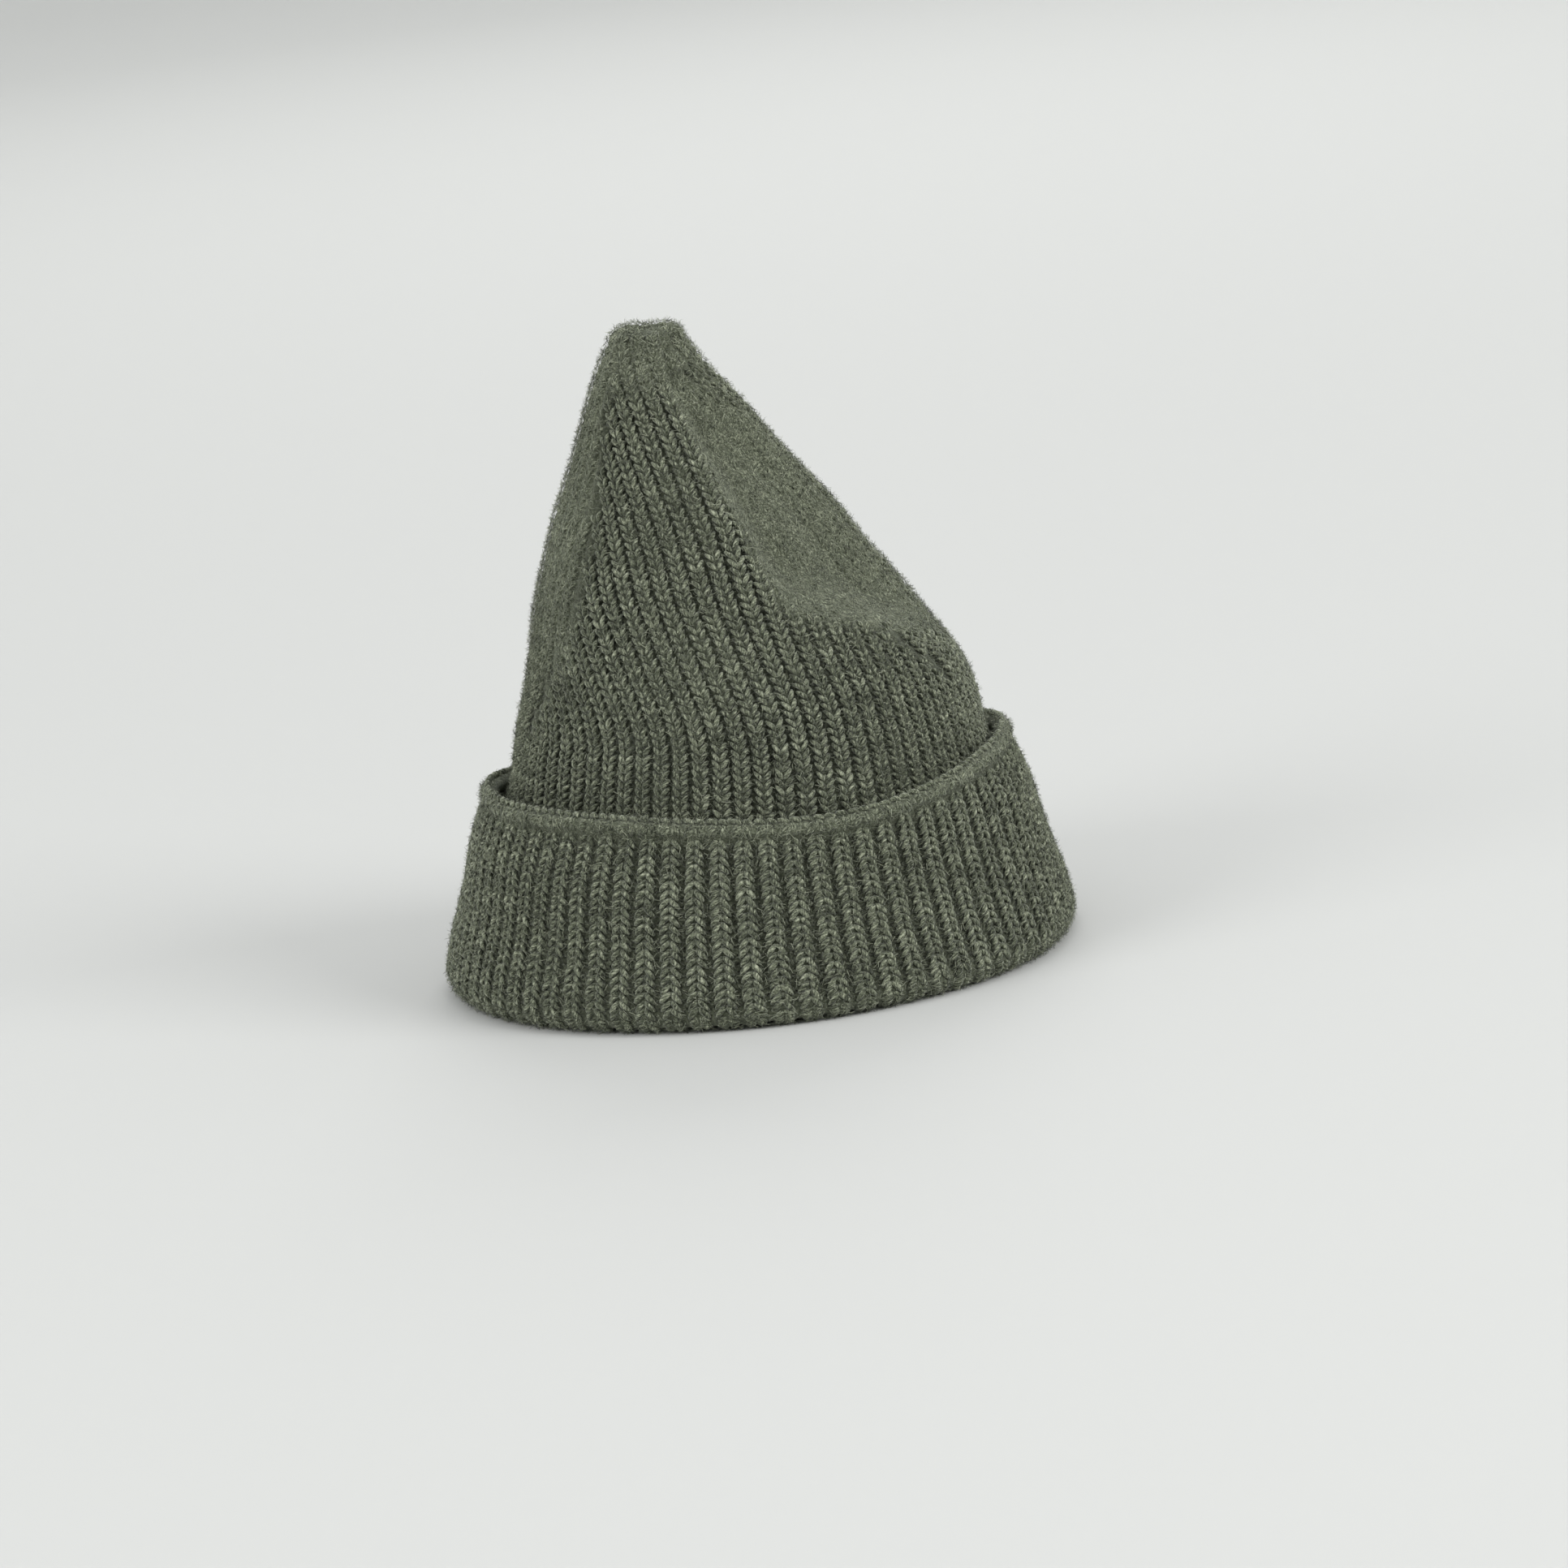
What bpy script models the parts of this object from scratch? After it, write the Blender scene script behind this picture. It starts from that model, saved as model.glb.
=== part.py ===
"""Rib-knit beanie with a turned-up cuff and a tall soft peak, as its knitted zones and trims.

The hat stands on the fold of its cuff at z = 0. Z is up, the front faces -Y, +X is on the right
seen from the front. All sizes are in metres and all angles in degrees from the front, towards +X.
"""
import math

import bmesh
import bpy
from mathutils import Vector

# ---- driving dimensions ----
FABRIC = 0.0033                 # thickness of one layer of the rib knit
GAP = 0.0003                    # clearance between neighbouring zones
SEGMENTS = 48                   # facets round the hat
BASE_ROWS, WALL_ROWS, WAIST_ROWS, PEAK_ROWS = 2, 5, 9, 4    # facets up a layer
GORES = 4
GORE_SPAN = 360.0 / GORES
GORE_LINE = -50.0               # angle of the first fashioning line
SEAM_ANGLE = GORE_LINE + 180.0  # the one long seam follows a fashioning line at the back

FOLD_TOP = 0.0070               # where the fold becomes cuff and band
CUFF_TOP = 0.0572               # where the cuff becomes its rounded edge
WELT_TOP = 0.0627
BASE_BOTTOM = 0.0460            # where the band becomes crown
WALL_BOTTOM = 0.0620            # just above the top of the cuff
WALL_TOP = 0.1040
PEAK_BOTTOM = 0.1500
TIP_BOTTOM = 0.1820
TIP_SHOULDER = 0.1885           # where the sides of the tip turn in
TIP_POLE = 0.1941

# the cuff's edge is not level
CUFF_RISE = 0.0011              # rise of its right side, and fall of its left
CUFF_SHIFT = 0.0016             # how far it sits to the right of the fold
CUFF_DIP = 0.0120               # how much lower it is at the back
CUFF_SAG = 0.0067               # how much lower it is at the front, round an angle
SAG_ANGLE, SAG_SPREAD = 20.0, 27.0

# height, centre x, half width, depth as a share of the width
CROWN_ROWS = (
    (0.046, 0.0018, 0.0765, 1.00),
    (0.060, 0.0022, 0.0720, 1.00),
    (0.074, 0.0028, 0.0690, 1.00),
    (0.086, 0.0022, 0.0651, 1.00),
    (0.100, -0.0006, 0.0588, 0.99),
    (0.117, -0.0038, 0.0512, 0.97),
    (0.132, -0.0056, 0.0438, 0.95),
    (0.148, -0.0084, 0.0347, 0.92),
    (0.179, -0.0138, 0.0172, 0.86),
    (TIP_SHOULDER, -0.0138, 0.0119, 0.84),
)
# height, outer radius of the layer
CUFF_ROWS = ((0.007, 0.0946), (0.014, 0.0928), (0.024, 0.0896), (0.045, 0.0840), (0.058, 0.0791))
BAND_ROWS = ((0.007, 0.0890), (0.024, 0.0835), (0.045, 0.0768), (0.060, 0.0717))

# the fold down the front of the peak, which slants as it rises
RIDGE_ANGLE, RIDGE_TURN = 16.0, -130.0      # its place at its height, and degrees per metre up from there
RIDGE_SPREAD, RIDGE_RISE = 8.0, 0.0026
RIDGE_HEIGHT, RIDGE_REACH = 0.138, 0.020

# the hollow beside it: where it starts, reaches its floor, leaves its floor and ends
HOLLOW_SHARE = 0.250                        # its depth, as a share of the half width
HOLLOW_SIDES = (-1.0, 18.0, 46.0, 80.0)     # degrees from the ridge
HOLLOW_LEVELS = (0.100, 0.121, 0.150, 0.184)
HOLLOW_SLANT, HOLLOW_MIDDLE = 0.0003, 30.0  # its floor lies lower to the right, metres per degree

# the front fashioning lines swing aside between these heights
LINE_SWINGS = (-26.0, 34.0, 0.0, 0.0)
LINE_LOW, LINE_HIGH = 0.068, 0.126

# the fold's outline: radius, height, from the band round the bottom to the cuff and back inside
FOLD_SECTION = (
    (0.0857, FOLD_TOP), (0.0858, 0.0035), (0.0868, 0.0012), (0.0886, 0.0),
    (0.0928, 0.0), (0.0941, 0.0012), (0.0948, 0.0035), (0.0946, FOLD_TOP),
    (0.0913, FOLD_TOP), (0.0910, 0.0052), (0.0894, 0.0052), (0.0890, FOLD_TOP),
)
# the tip's rings above its shoulder and those of the hollow under it: share of the width, height
TIP_RINGS = ((0.86, 0.1915), (0.60, 0.1934), (0.25, 0.1940))
TIP_HOLLOW = ((0.20, 0.1885), (0.70, 0.1868))
TIP_HOLLOW_POLE = 0.1887

WELT_RADIUS = 0.0031            # the roll at the cuff's cast-on edge
WELT_PROUD = 0.0003             # how far it stands out of the cuff
SEAM_WIDTH = 0.0040
SEAM_DEPTH = 0.0013
BAND_SEAM_BOTTOM = 0.0100
CUFF_SEAM_BOTTOM, CUFF_SEAM_TOP = 0.0240, 0.0552
PEAK_SEAM_TOP = 0.1780
LABEL_WIDTH, LABEL_HEIGHT, LABEL_THICKNESS = 0.028, 0.034, 0.0006
LABEL_BOTTOM = 0.010
THREAD_RADIUS, THREAD_MARGIN = 0.0004, 0.0030
THREAD_START, THREAD_SHARE = 0.06, 0.88     # of the label's width
KNOT_RADIUS, KNOT_YARN = 0.0026, 0.0013
KNOT_HEIGHT = 0.1838
PEAK_AXIS = (-0.004, 0.0, 0.112)            # on the line that the peak turns about

WOOL = (0.090, 0.100, 0.072)
WOOL_INSIDE = (0.080, 0.090, 0.065)
WOOL_SEAM = (0.070, 0.080, 0.058)
LABEL_CLOTH = (0.75, 0.74, 0.70)
LABEL_THREAD = (0.40, 0.41, 0.37)


# ---- profiles ----
def profile_at(rows, height):
    """Values of a profile at a height, on a smooth curve through its rows."""
    last = len(rows) - 1
    index = 0
    while index < last - 1 and height > rows[index + 1][0]:
        index += 1
    low, high = rows[index], rows[index + 1]
    before, after = rows[max(index - 1, 0)], rows[min(index + 2, last)]
    span = high[0] - low[0]
    t = (height - low[0]) / span
    values = []
    for k in range(1, len(low)):
        slope_low = (high[k] - before[k]) / (high[0] - before[0]) * span
        slope_high = (after[k] - low[k]) / (after[0] - low[0]) * span
        values.append((2 * t**3 - 3 * t**2 + 1) * low[k] + (t**3 - 2 * t**2 + t) * slope_low
                      + (3 * t**2 - 2 * t**3) * high[k] + (t**3 - t**2) * slope_high)
    return values


def bump(distance, spread):
    """A soft bump of height 1 that fades over the spread."""
    return math.exp(-0.5 * (distance / spread) ** 2)


def ease(value, low, high):
    """Rises smoothly from 0 to 1 between two limits."""
    t = min(1.0, max(0.0, (value - low) / (high - low)))
    return t * t * (3 - 2 * t)


def plateau(value, limits):
    """Rises smoothly from 0 to 1 between the first two limits, and falls between the last two."""
    return ease(value, limits[0], limits[1]) * (1.0 - ease(value, limits[2], limits[3]))


def crown_relief(angle, height, half_width):
    """How far the folded peak stands out of its plain oval section."""
    from_ridge = angle - RIDGE_ANGLE - RIDGE_TURN * (height - RIDGE_HEIGHT)
    ridge = RIDGE_RISE * bump(from_ridge, RIDGE_SPREAD) * bump(height - RIDGE_HEIGHT, RIDGE_REACH)
    level = height + HOLLOW_SLANT * (from_ridge - HOLLOW_MIDDLE)
    hollow = HOLLOW_SHARE * half_width * plateau(from_ridge, HOLLOW_SIDES) * plateau(level, HOLLOW_LEVELS)
    return ridge - hollow


def crown_point(angle, height, inset=0.0):
    """Point of the crown, a distance inside its outer face."""
    centre, half_width, depth_share = profile_at(CROWN_ROWS, height)
    turn = (angle + 180.0) % 360.0 - 180.0
    reach = half_width + crown_relief(turn, height, half_width) - inset
    radians = math.radians(angle)
    return Vector((centre + reach * math.sin(radians), -reach * depth_share * math.cos(radians), height))


def edge_lift(angle):
    """How much higher the cuff's edge is than its mean height."""
    radians = math.radians(angle)
    turn = (angle + 180.0) % 360.0 - 180.0
    sag = CUFF_SAG * bump(turn - SAG_ANGLE, SAG_SPREAD)
    dip = CUFF_DIP * max(0.0, -math.cos(radians)) ** 1.2
    return CUFF_RISE * math.sin(radians) - sag - dip


def edge_share(height):
    """0 at the foot of the cuff and 1 at its edge."""
    return (height - FOLD_TOP - GAP) / (WELT_TOP - FOLD_TOP - GAP)


def ring_point(angle, height, reach):
    """Point at a reach outside the cuff's outer face; its rows lie closer where its edge is low."""
    share = edge_share(height)
    level = height + edge_lift(angle) * share
    radius = profile_at(CUFF_ROWS, min(height, CUFF_TOP) + edge_lift(angle) * share)[0] + reach
    radians = math.radians(angle)
    return Vector((CUFF_SHIFT * share**2 + radius * math.sin(radians), -radius * math.cos(radians), level))


def cuff_point(angle, height, inset=0.0):
    return ring_point(angle, height, -inset)


def band_point(angle, height, inset=0.0):
    radians = math.radians(angle)
    radius = profile_at(BAND_ROWS, height)[0] - inset
    shift = CROWN_ROWS[0][1] * (height - FOLD_TOP) / (BASE_BOTTOM - FOLD_TOP)
    return Vector((shift + radius * math.sin(radians), -radius * math.cos(radians), height))


def fashioning_line(gore):
    """Angle of a gore's left line at a height, as a function."""
    def angle_at(height):
        return GORE_LINE + GORE_SPAN * gore + LINE_SWINGS[gore] * (1.0 - ease(height, LINE_LOW, LINE_HIGH))
    return angle_at


def straight_seam(height):
    """The long seam of the band and the cuff runs straight up."""
    return SEAM_ANGLE


# ---- building ----
def make_material(name, colour, roughness):
    material = bpy.data.materials.new(name)
    material.use_nodes = True
    shader = material.node_tree.nodes["Principled BSDF"]
    shader.inputs["Base Color"].default_value = (*colour, 1.0)
    shader.inputs["Roughness"].default_value = roughness
    shader.inputs["Metallic"].default_value = 0.0
    return material


def make_object(name, bm, origin, parent, material):
    """Finish a mesh as one named object whose origin is at the given point."""
    bmesh.ops.recalc_face_normals(bm, faces=bm.faces)
    place = Vector(origin)
    bmesh.ops.translate(bm, verts=bm.verts, vec=-place)
    mesh = bpy.data.meshes.new(name)
    bm.to_mesh(mesh)
    bm.free()
    mesh.shade_smooth()
    mesh.set_sharp_from_angle(angle=math.radians(50.0))
    mesh.materials.append(material)
    piece = bpy.data.objects.new(name, mesh)
    bpy.context.scene.collection.objects.link(piece)
    piece.location = place - parent.location if parent else place
    piece.parent = parent
    return piece


def add_faces(bm, loops, round_again):
    """Join point loops of equal length side by side; each loop is a closed outline."""
    rows = [[bm.verts.new(point) for point in loop] for loop in loops]
    pairs = list(zip(rows, rows[1:]))
    if round_again:
        pairs.append((rows[-1], rows[0]))
    for left, right in pairs:
        for k in range(len(left)):
            after = (k + 1) % len(left)
            bm.faces.new((left[k], right[k], right[after], left[after]))
    if not round_again:
        bm.faces.new(rows[0])
        bm.faces.new(tuple(reversed(rows[-1])))


def turned(outline_at, angles, round_again):
    """Sweep an outline round the hat: outline_at(angle) gives the closed section there."""
    bm = bmesh.new()
    add_faces(bm, [outline_at(angle) for angle in angles], round_again)
    return bm


def full_circle():
    return [GORE_LINE + 360.0 * k / SEGMENTS for k in range(SEGMENTS)]


def build_layer(name, point_at, bottom, top, rows, material):
    """A ring of fabric: each section runs up its outer face and down its inner face."""
    heights = [bottom + (top - bottom) * k / rows for k in range(rows + 1)]

    def outline(angle):
        outside = [point_at(angle, height) for height in heights]
        inside = [point_at(angle, height, FABRIC) for height in reversed(heights)]
        return outside + inside
    return make_object(name, turned(outline, full_circle(), True), (0, 0, 0), None, material)


def build_fold(material):
    def outline(angle):
        radians = math.radians(angle)
        return [Vector((radius * math.sin(radians), -radius * math.cos(radians), height))
                for radius, height in FOLD_SECTION]
    return make_object("cuff_fold", turned(outline, full_circle(), True), (0, 0, 0), None, material)


def build_welt(material):
    """Rounded cast-on edge: a roll that is thicker than the cuff below it."""
    bottom = CUFF_TOP + GAP
    middle = (bottom + WELT_TOP) / 2
    steps = 6

    def outline(angle):
        points = [ring_point(angle, bottom, 0.0)]
        for k in range(steps + 1):
            turn = math.pi * k / steps
            points.append(ring_point(angle, middle + (WELT_TOP - middle) * math.sin(turn),
                                     WELT_PROUD - WELT_RADIUS * (1 - math.cos(turn))))
        points.append(ring_point(angle, bottom, -FABRIC))
        return points
    return make_object("cuff_edge_welt", turned(outline, full_circle(), True), (0, 0, 0), None, material)


def build_gore(name, first_line, peak, material):
    """A quarter of the peak, between two fashioning lines."""
    segments = SEGMENTS // GORES
    heights = [PEAK_BOTTOM + (TIP_BOTTOM - GAP - PEAK_BOTTOM) * k / PEAK_ROWS for k in range(PEAK_ROWS + 1)]

    def outline(share):
        points = []
        for inset, order in ((0.0, heights), (FABRIC, reversed(heights))):
            for height in order:
                _, half_width, depth_share = profile_at(CROWN_ROWS, height)
                margin = math.degrees(GAP / 2 / ((half_width - inset) * depth_share))
                angle = first_line + margin + (GORE_SPAN - 2 * margin) * share
                points.append(crown_point(angle, height, inset))
        return points
    bm = bmesh.new()
    add_faces(bm, [outline(k / segments) for k in range(segments + 1)], False)
    return make_object(name, bm, peak.location, peak, material)


def tip_ring(share, height):
    """A ring over the shoulder of the tip, at a share of its width."""
    centre = profile_at(CROWN_ROWS, TIP_SHOULDER)[0]
    ring = []
    for angle in full_circle():
        edge = crown_point(angle, TIP_SHOULDER)
        ring.append(Vector((centre + (edge.x - centre) * share, edge.y * share, height)))
    return ring


def build_tip(peak, material):
    """Gathered tip: a blunt dome with a hollow underneath for the knot."""
    outer = []
    for height in (TIP_BOTTOM, (TIP_BOTTOM + TIP_SHOULDER) / 2, TIP_SHOULDER):
        outer.append([crown_point(angle, height) for angle in full_circle()])
    outer += [tip_ring(share, height) for share, height in TIP_RINGS]
    inner = [tip_ring(share, height) for share, height in TIP_HOLLOW]
    inner.append([crown_point(angle, TIP_BOTTOM, FABRIC) for angle in full_circle()])

    bm = bmesh.new()
    outer_loops = [[bm.verts.new(point) for point in ring] for ring in outer]
    inner_loops = [[bm.verts.new(point) for point in ring] for ring in inner]
    pairs = list(zip(outer_loops, outer_loops[1:])) + list(zip(inner_loops, inner_loops[1:]))
    pairs.append((inner_loops[-1], outer_loops[0]))
    for low, high in pairs:
        for k in range(SEGMENTS):
            after = (k + 1) % SEGMENTS
            bm.faces.new((low[k], low[after], high[after], high[k]))
    centre = profile_at(CROWN_ROWS, TIP_SHOULDER)[0]
    for ring, height in ((outer_loops[-1], TIP_POLE), (inner_loops[0], TIP_HOLLOW_POLE)):
        pole = bm.verts.new(Vector((centre, 0.0, height)))
        for k in range(SEGMENTS):
            bm.faces.new((ring[k], ring[(k + 1) % SEGMENTS], pole))
    return make_object("peak_tip", bm, peak.location, peak, material)


def build_seam(name, point_at, line, bottom, top, rows, parent, material):
    """A rounded ridge of joined edges along a line, on the inner face of a layer."""
    depth = FABRIC + GAP
    section = ((-1.0, 0.0), (1.0, 0.0), (0.6, SEAM_DEPTH), (-0.6, SEAM_DEPTH))
    outlines = []
    for k in range(rows + 1):
        height = bottom + (top - bottom) * k / rows
        angle = line(height)
        across = point_at(angle, height, depth) - point_at(angle + 180.0, height, depth)
        half = math.degrees(SEAM_WIDTH / math.hypot(across.x, across.y))
        outlines.append([point_at(angle + half * side, height, depth + rise) for side, rise in section])
    bm = bmesh.new()
    add_faces(bm, outlines, False)
    make_object(name, bm, parent.location if parent else (0, 0, 0), parent, material)


def build_label(material, thread):
    """Blank label beside the seam inside the band, held by a run of thread along its top."""
    band_radius = profile_at(BAND_ROWS, LABEL_BOTTOM + LABEL_HEIGHT / 2)[0]
    depth = FABRIC + GAP * 2
    width = math.degrees(LABEL_WIDTH / band_radius)
    first = SEAM_ANGLE + math.degrees(SEAM_WIDTH / band_radius)
    columns, rows = 6, 3
    heights = [LABEL_BOTTOM + LABEL_HEIGHT * r / rows for r in range(rows + 1)]
    outlines = []
    for c in range(columns + 1):
        angle = first + width * c / columns
        outside = [band_point(angle, height, depth) for height in heights]
        inside = [band_point(angle, height, depth + LABEL_THICKNESS) for height in reversed(heights)]
        outlines.append(outside + inside)
    bm = bmesh.new()
    add_faces(bm, outlines, False)
    make_object("care_label", bm, (0, 0, 0), None, material)

    height = LABEL_BOTTOM + LABEL_HEIGHT - THREAD_MARGIN
    thread_depth = depth + LABEL_THICKNESS + GAP + THREAD_RADIUS
    sides = 6
    outlines = []
    for c in range(columns + 1):
        angle = first + width * (THREAD_START + THREAD_SHARE * c / columns)
        centre = band_point(angle, height, thread_depth)
        outward = Vector((centre.x, centre.y, 0.0)).normalized()
        turns = [2 * math.pi * k / sides for k in range(sides)]
        outlines.append([centre + THREAD_RADIUS * (outward * math.cos(turn) + Vector((0, 0, math.sin(turn))))
                         for turn in turns])
    bm = bmesh.new()
    add_faces(bm, outlines, False)
    make_object("label_thread", bm, (0, 0, 0), None, thread)


def build_knot(peak, material):
    """Small overhand knot of yarn inside the tip, modelled as a ring of yarn."""
    bm = bmesh.new()
    centre = Vector((profile_at(CROWN_ROWS, KNOT_HEIGHT)[0], 0.0, KNOT_HEIGHT))
    turns, sides = 14, 6
    loops = []
    for k in range(turns):
        angle = 2 * math.pi * k / turns
        outward = Vector((math.cos(angle), math.sin(angle), 0.0))
        ring = []
        for s in range(sides):
            turn = 2 * math.pi * s / sides
            ring.append(centre + outward * (KNOT_RADIUS + KNOT_YARN * math.cos(turn))
                        + Vector((0, 0, KNOT_YARN * math.sin(turn))))
        loops.append(ring)
    add_faces(bm, loops, True)
    make_object("tip_knot", bm, peak.location, peak, material)


def main():
    for old in list(bpy.data.objects):
        bpy.data.objects.remove(old, do_unlink=True)
    wool = make_material("wool_rib", WOOL, 0.95)
    inside = make_material("wool_rib_inside", WOOL_INSIDE, 0.95)
    seam = make_material("wool_seam", WOOL_SEAM, 0.95)
    label = make_material("label_cloth", LABEL_CLOTH, 0.7)
    thread = make_material("label_thread", LABEL_THREAD, 0.8)

    # the peak turns about a line along Y, level with the top of the head
    peak = bpy.data.objects.new("peak_axis", None)
    peak.location = PEAK_AXIS
    bpy.context.scene.collection.objects.link(peak)

    build_fold(wool)
    build_layer("inner_band", band_point, FOLD_TOP + GAP, BASE_BOTTOM - GAP, WALL_ROWS, inside)
    build_layer("turn_up_cuff", cuff_point, FOLD_TOP + GAP, CUFF_TOP, WALL_ROWS, wool)
    build_welt(wool)
    build_layer("crown_base", crown_point, BASE_BOTTOM, WALL_BOTTOM - GAP, BASE_ROWS, wool)
    build_layer("crown_wall", crown_point, WALL_BOTTOM, WALL_TOP - GAP, WALL_ROWS, wool)
    build_layer("crown_waist", crown_point, WALL_TOP, PEAK_BOTTOM - GAP, WAIST_ROWS, wool)
    for gore, side in enumerate(("front", "right", "back", "left")):
        build_gore("gore_" + side, GORE_LINE + GORE_SPAN * gore, peak, wool)
    build_tip(peak, wool)

    band_top = BASE_BOTTOM - GAP
    wall_top = WALL_TOP - GAP
    waist_top = PEAK_BOTTOM - GAP
    build_seam("band_seam", band_point, straight_seam, BAND_SEAM_BOTTOM, band_top, WALL_ROWS, None, seam)
    build_seam("cuff_seam", cuff_point, straight_seam, CUFF_SEAM_BOTTOM, CUFF_SEAM_TOP, WALL_ROWS, None, seam)
    build_seam("crown_seam", crown_point, straight_seam, WALL_BOTTOM, wall_top, WALL_ROWS, None, seam)
    for gore, side in enumerate(("front_left", "front_right", "back_right", "back_left")):
        line = fashioning_line(gore)
        build_seam("waist_seam_" + side, crown_point, line, WALL_TOP, waist_top, WAIST_ROWS, None, seam)
        build_seam("peak_seam_" + side, crown_point, line, PEAK_BOTTOM, PEAK_SEAM_TOP, PEAK_ROWS, peak, seam)
    build_knot(peak, seam)
    build_label(label, thread)


main()
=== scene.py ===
"""Rib-knit beanie: its folded fabric, stitches, fuzz, seams and label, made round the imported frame."""
import math

import bpy
import numpy as np
from mathutils import Matrix, Vector


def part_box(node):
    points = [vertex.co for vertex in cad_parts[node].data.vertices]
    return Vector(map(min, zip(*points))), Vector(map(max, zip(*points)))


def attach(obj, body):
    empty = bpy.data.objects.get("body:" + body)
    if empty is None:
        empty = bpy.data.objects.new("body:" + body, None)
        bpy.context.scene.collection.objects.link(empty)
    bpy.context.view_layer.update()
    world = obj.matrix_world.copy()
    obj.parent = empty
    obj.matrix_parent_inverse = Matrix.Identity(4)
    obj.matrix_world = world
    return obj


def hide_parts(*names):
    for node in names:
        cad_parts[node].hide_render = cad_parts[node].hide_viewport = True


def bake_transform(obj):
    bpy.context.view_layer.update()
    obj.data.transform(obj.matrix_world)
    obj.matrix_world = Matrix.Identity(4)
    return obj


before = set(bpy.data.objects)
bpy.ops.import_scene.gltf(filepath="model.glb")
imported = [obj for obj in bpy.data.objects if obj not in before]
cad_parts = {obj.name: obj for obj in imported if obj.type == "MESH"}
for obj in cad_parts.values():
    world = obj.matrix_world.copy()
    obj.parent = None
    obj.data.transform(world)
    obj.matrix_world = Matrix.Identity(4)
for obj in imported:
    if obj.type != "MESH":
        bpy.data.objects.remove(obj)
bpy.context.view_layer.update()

MM = 0.001

# ---- the knit's gauge ----
RIBS = 72
GORES = 4
RIBS_IN_GORE = RIBS // GORES
GORE_SPAN = 360.0 / GORES
GORE_LINE = -50.0               # degrees from the front towards +X, as in the frame
SEAM_ANGLE = GORE_LINE + 180.0
ANCHOR = 0.3                    # the place across a gore whose rib runs straight to the tip
LINE_SWINGS = np.array([-26.0, 34.0, 0.0, 0.0])     # degrees that the fashioning lines swing aside
LINE_LOW, LINE_HIGH = 0.068, 0.126                  # between these heights
CROWN_PITCH = 5.9 * MM          # rib to rib, where the crown is shaped
TIP_PITCH = 4.9 * MM            # rib to rib near the tip
COURSE = 2.6 * MM               # one row of stitches
LEVEL_SHARE = 0.905             # a course's height on the sloping crown
FABRIC = 3.3 * MM
YARN = 0.66 * MM                # yarn radius in a stitch
ROLL = 3.1 * MM                 # radius of the roll at the cuff's cast-on edge
CUFF_RISE = 1.1 * MM            # rise of that edge at its right side, and fall at its left
CUFF_SHIFT = 1.6 * MM           # how far it sits to the right of the fold
CUFF_DIP = 12.0 * MM            # how much lower it is at the back
CUFF_SAG = 6.7 * MM             # how much lower it is at the front, round an angle
SAG_ANGLE, SAG_SPREAD = 20.0, 27.0
SEAM_INSET = FABRIC + 0.3 * MM  # how deep the seams lie under the outer face
TUBE_SIDES = 8
CHAIN_STEP = 2.3 * MM           # link to link along a joined edge
LADDER_STEP = 1.6 * MM          # rung to rung up the back seam
EDGE_HEIGHT = 4.7 * MM          # the cast-on edge above the cuff it grows from

# ---- the label inside the band ----
LABEL_WIDTH, LABEL_HEIGHT, LABEL_THICKNESS = 28 * MM, 34 * MM, 0.55 * MM
LABEL_BOTTOM = 10 * MM

# ---- heights and radii that the frame sets ----
FOLD_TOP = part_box("cuff_fold")[1].z
RIM_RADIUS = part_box("cuff_fold")[1].x
WELT_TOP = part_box("turn_up_cuff")[1].z + EDGE_HEIGHT
BAND_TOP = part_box("inner_band")[1].z
WALL_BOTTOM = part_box("crown_base")[0].z
WAIST_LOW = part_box("crown_waist")[0].z
TIP_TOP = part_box("peak_tip")[1].z
SHOULDER = TIP_TOP - 5.6 * MM   # where the sides of the tip turn in
DOME_ARC = 14.5 * MM            # from the shoulder to the middle of the tip

# height, centre x, half width, depth as a share of the width
CROWN_ROWS = (
    (0.046, 0.0018, 0.0765, 1.00),
    (0.060, 0.0022, 0.0720, 1.00),
    (0.074, 0.0028, 0.0690, 1.00),
    (0.086, 0.0022, 0.0651, 1.00),
    (0.100, -0.0006, 0.0588, 0.99),
    (0.117, -0.0038, 0.0512, 0.97),
    (0.132, -0.0056, 0.0438, 0.95),
    (0.148, -0.0084, 0.0347, 0.92),
    (0.179, -0.0138, 0.0172, 0.86),
    (SHOULDER, -0.0138, 0.0119, 0.84),
)
CUFF_ROWS = ((0.007, 0.0946), (0.014, 0.0928), (0.024, 0.0896), (0.045, 0.0840), (0.058, 0.0791))
BAND_ROWS = ((0.007, 0.0890), (0.024, 0.0835), (0.045, 0.0768), (0.060, 0.0717))

# ---- the fold down the front of the peak and the hollow beside it ----
RIDGE_ANGLE, RIDGE_TURN = 16.0, -130.0      # its place at its height, and degrees per metre up from there
RIDGE_SPREAD, RIDGE_RISE = 8.0, 2.6 * MM
RIDGE_HEIGHT, RIDGE_REACH = 0.138, 0.020
HOLLOW_SHARE = 0.250                        # depth of the hollow, as a share of the half width
HOLLOW_SIDES = (-1.0, 18.0, 46.0, 80.0)     # degrees from the ridge
HOLLOW_LEVELS = (0.100, 0.121, 0.150, 0.184)
HOLLOW_SLANT = 0.0003                       # its floor lies lower to the right, metres per degree
PINCH_DEPTH, PINCH_SPREAD = 1.5 * MM, 2.6 * MM      # the gathered tip's dip between its two bumps


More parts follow.
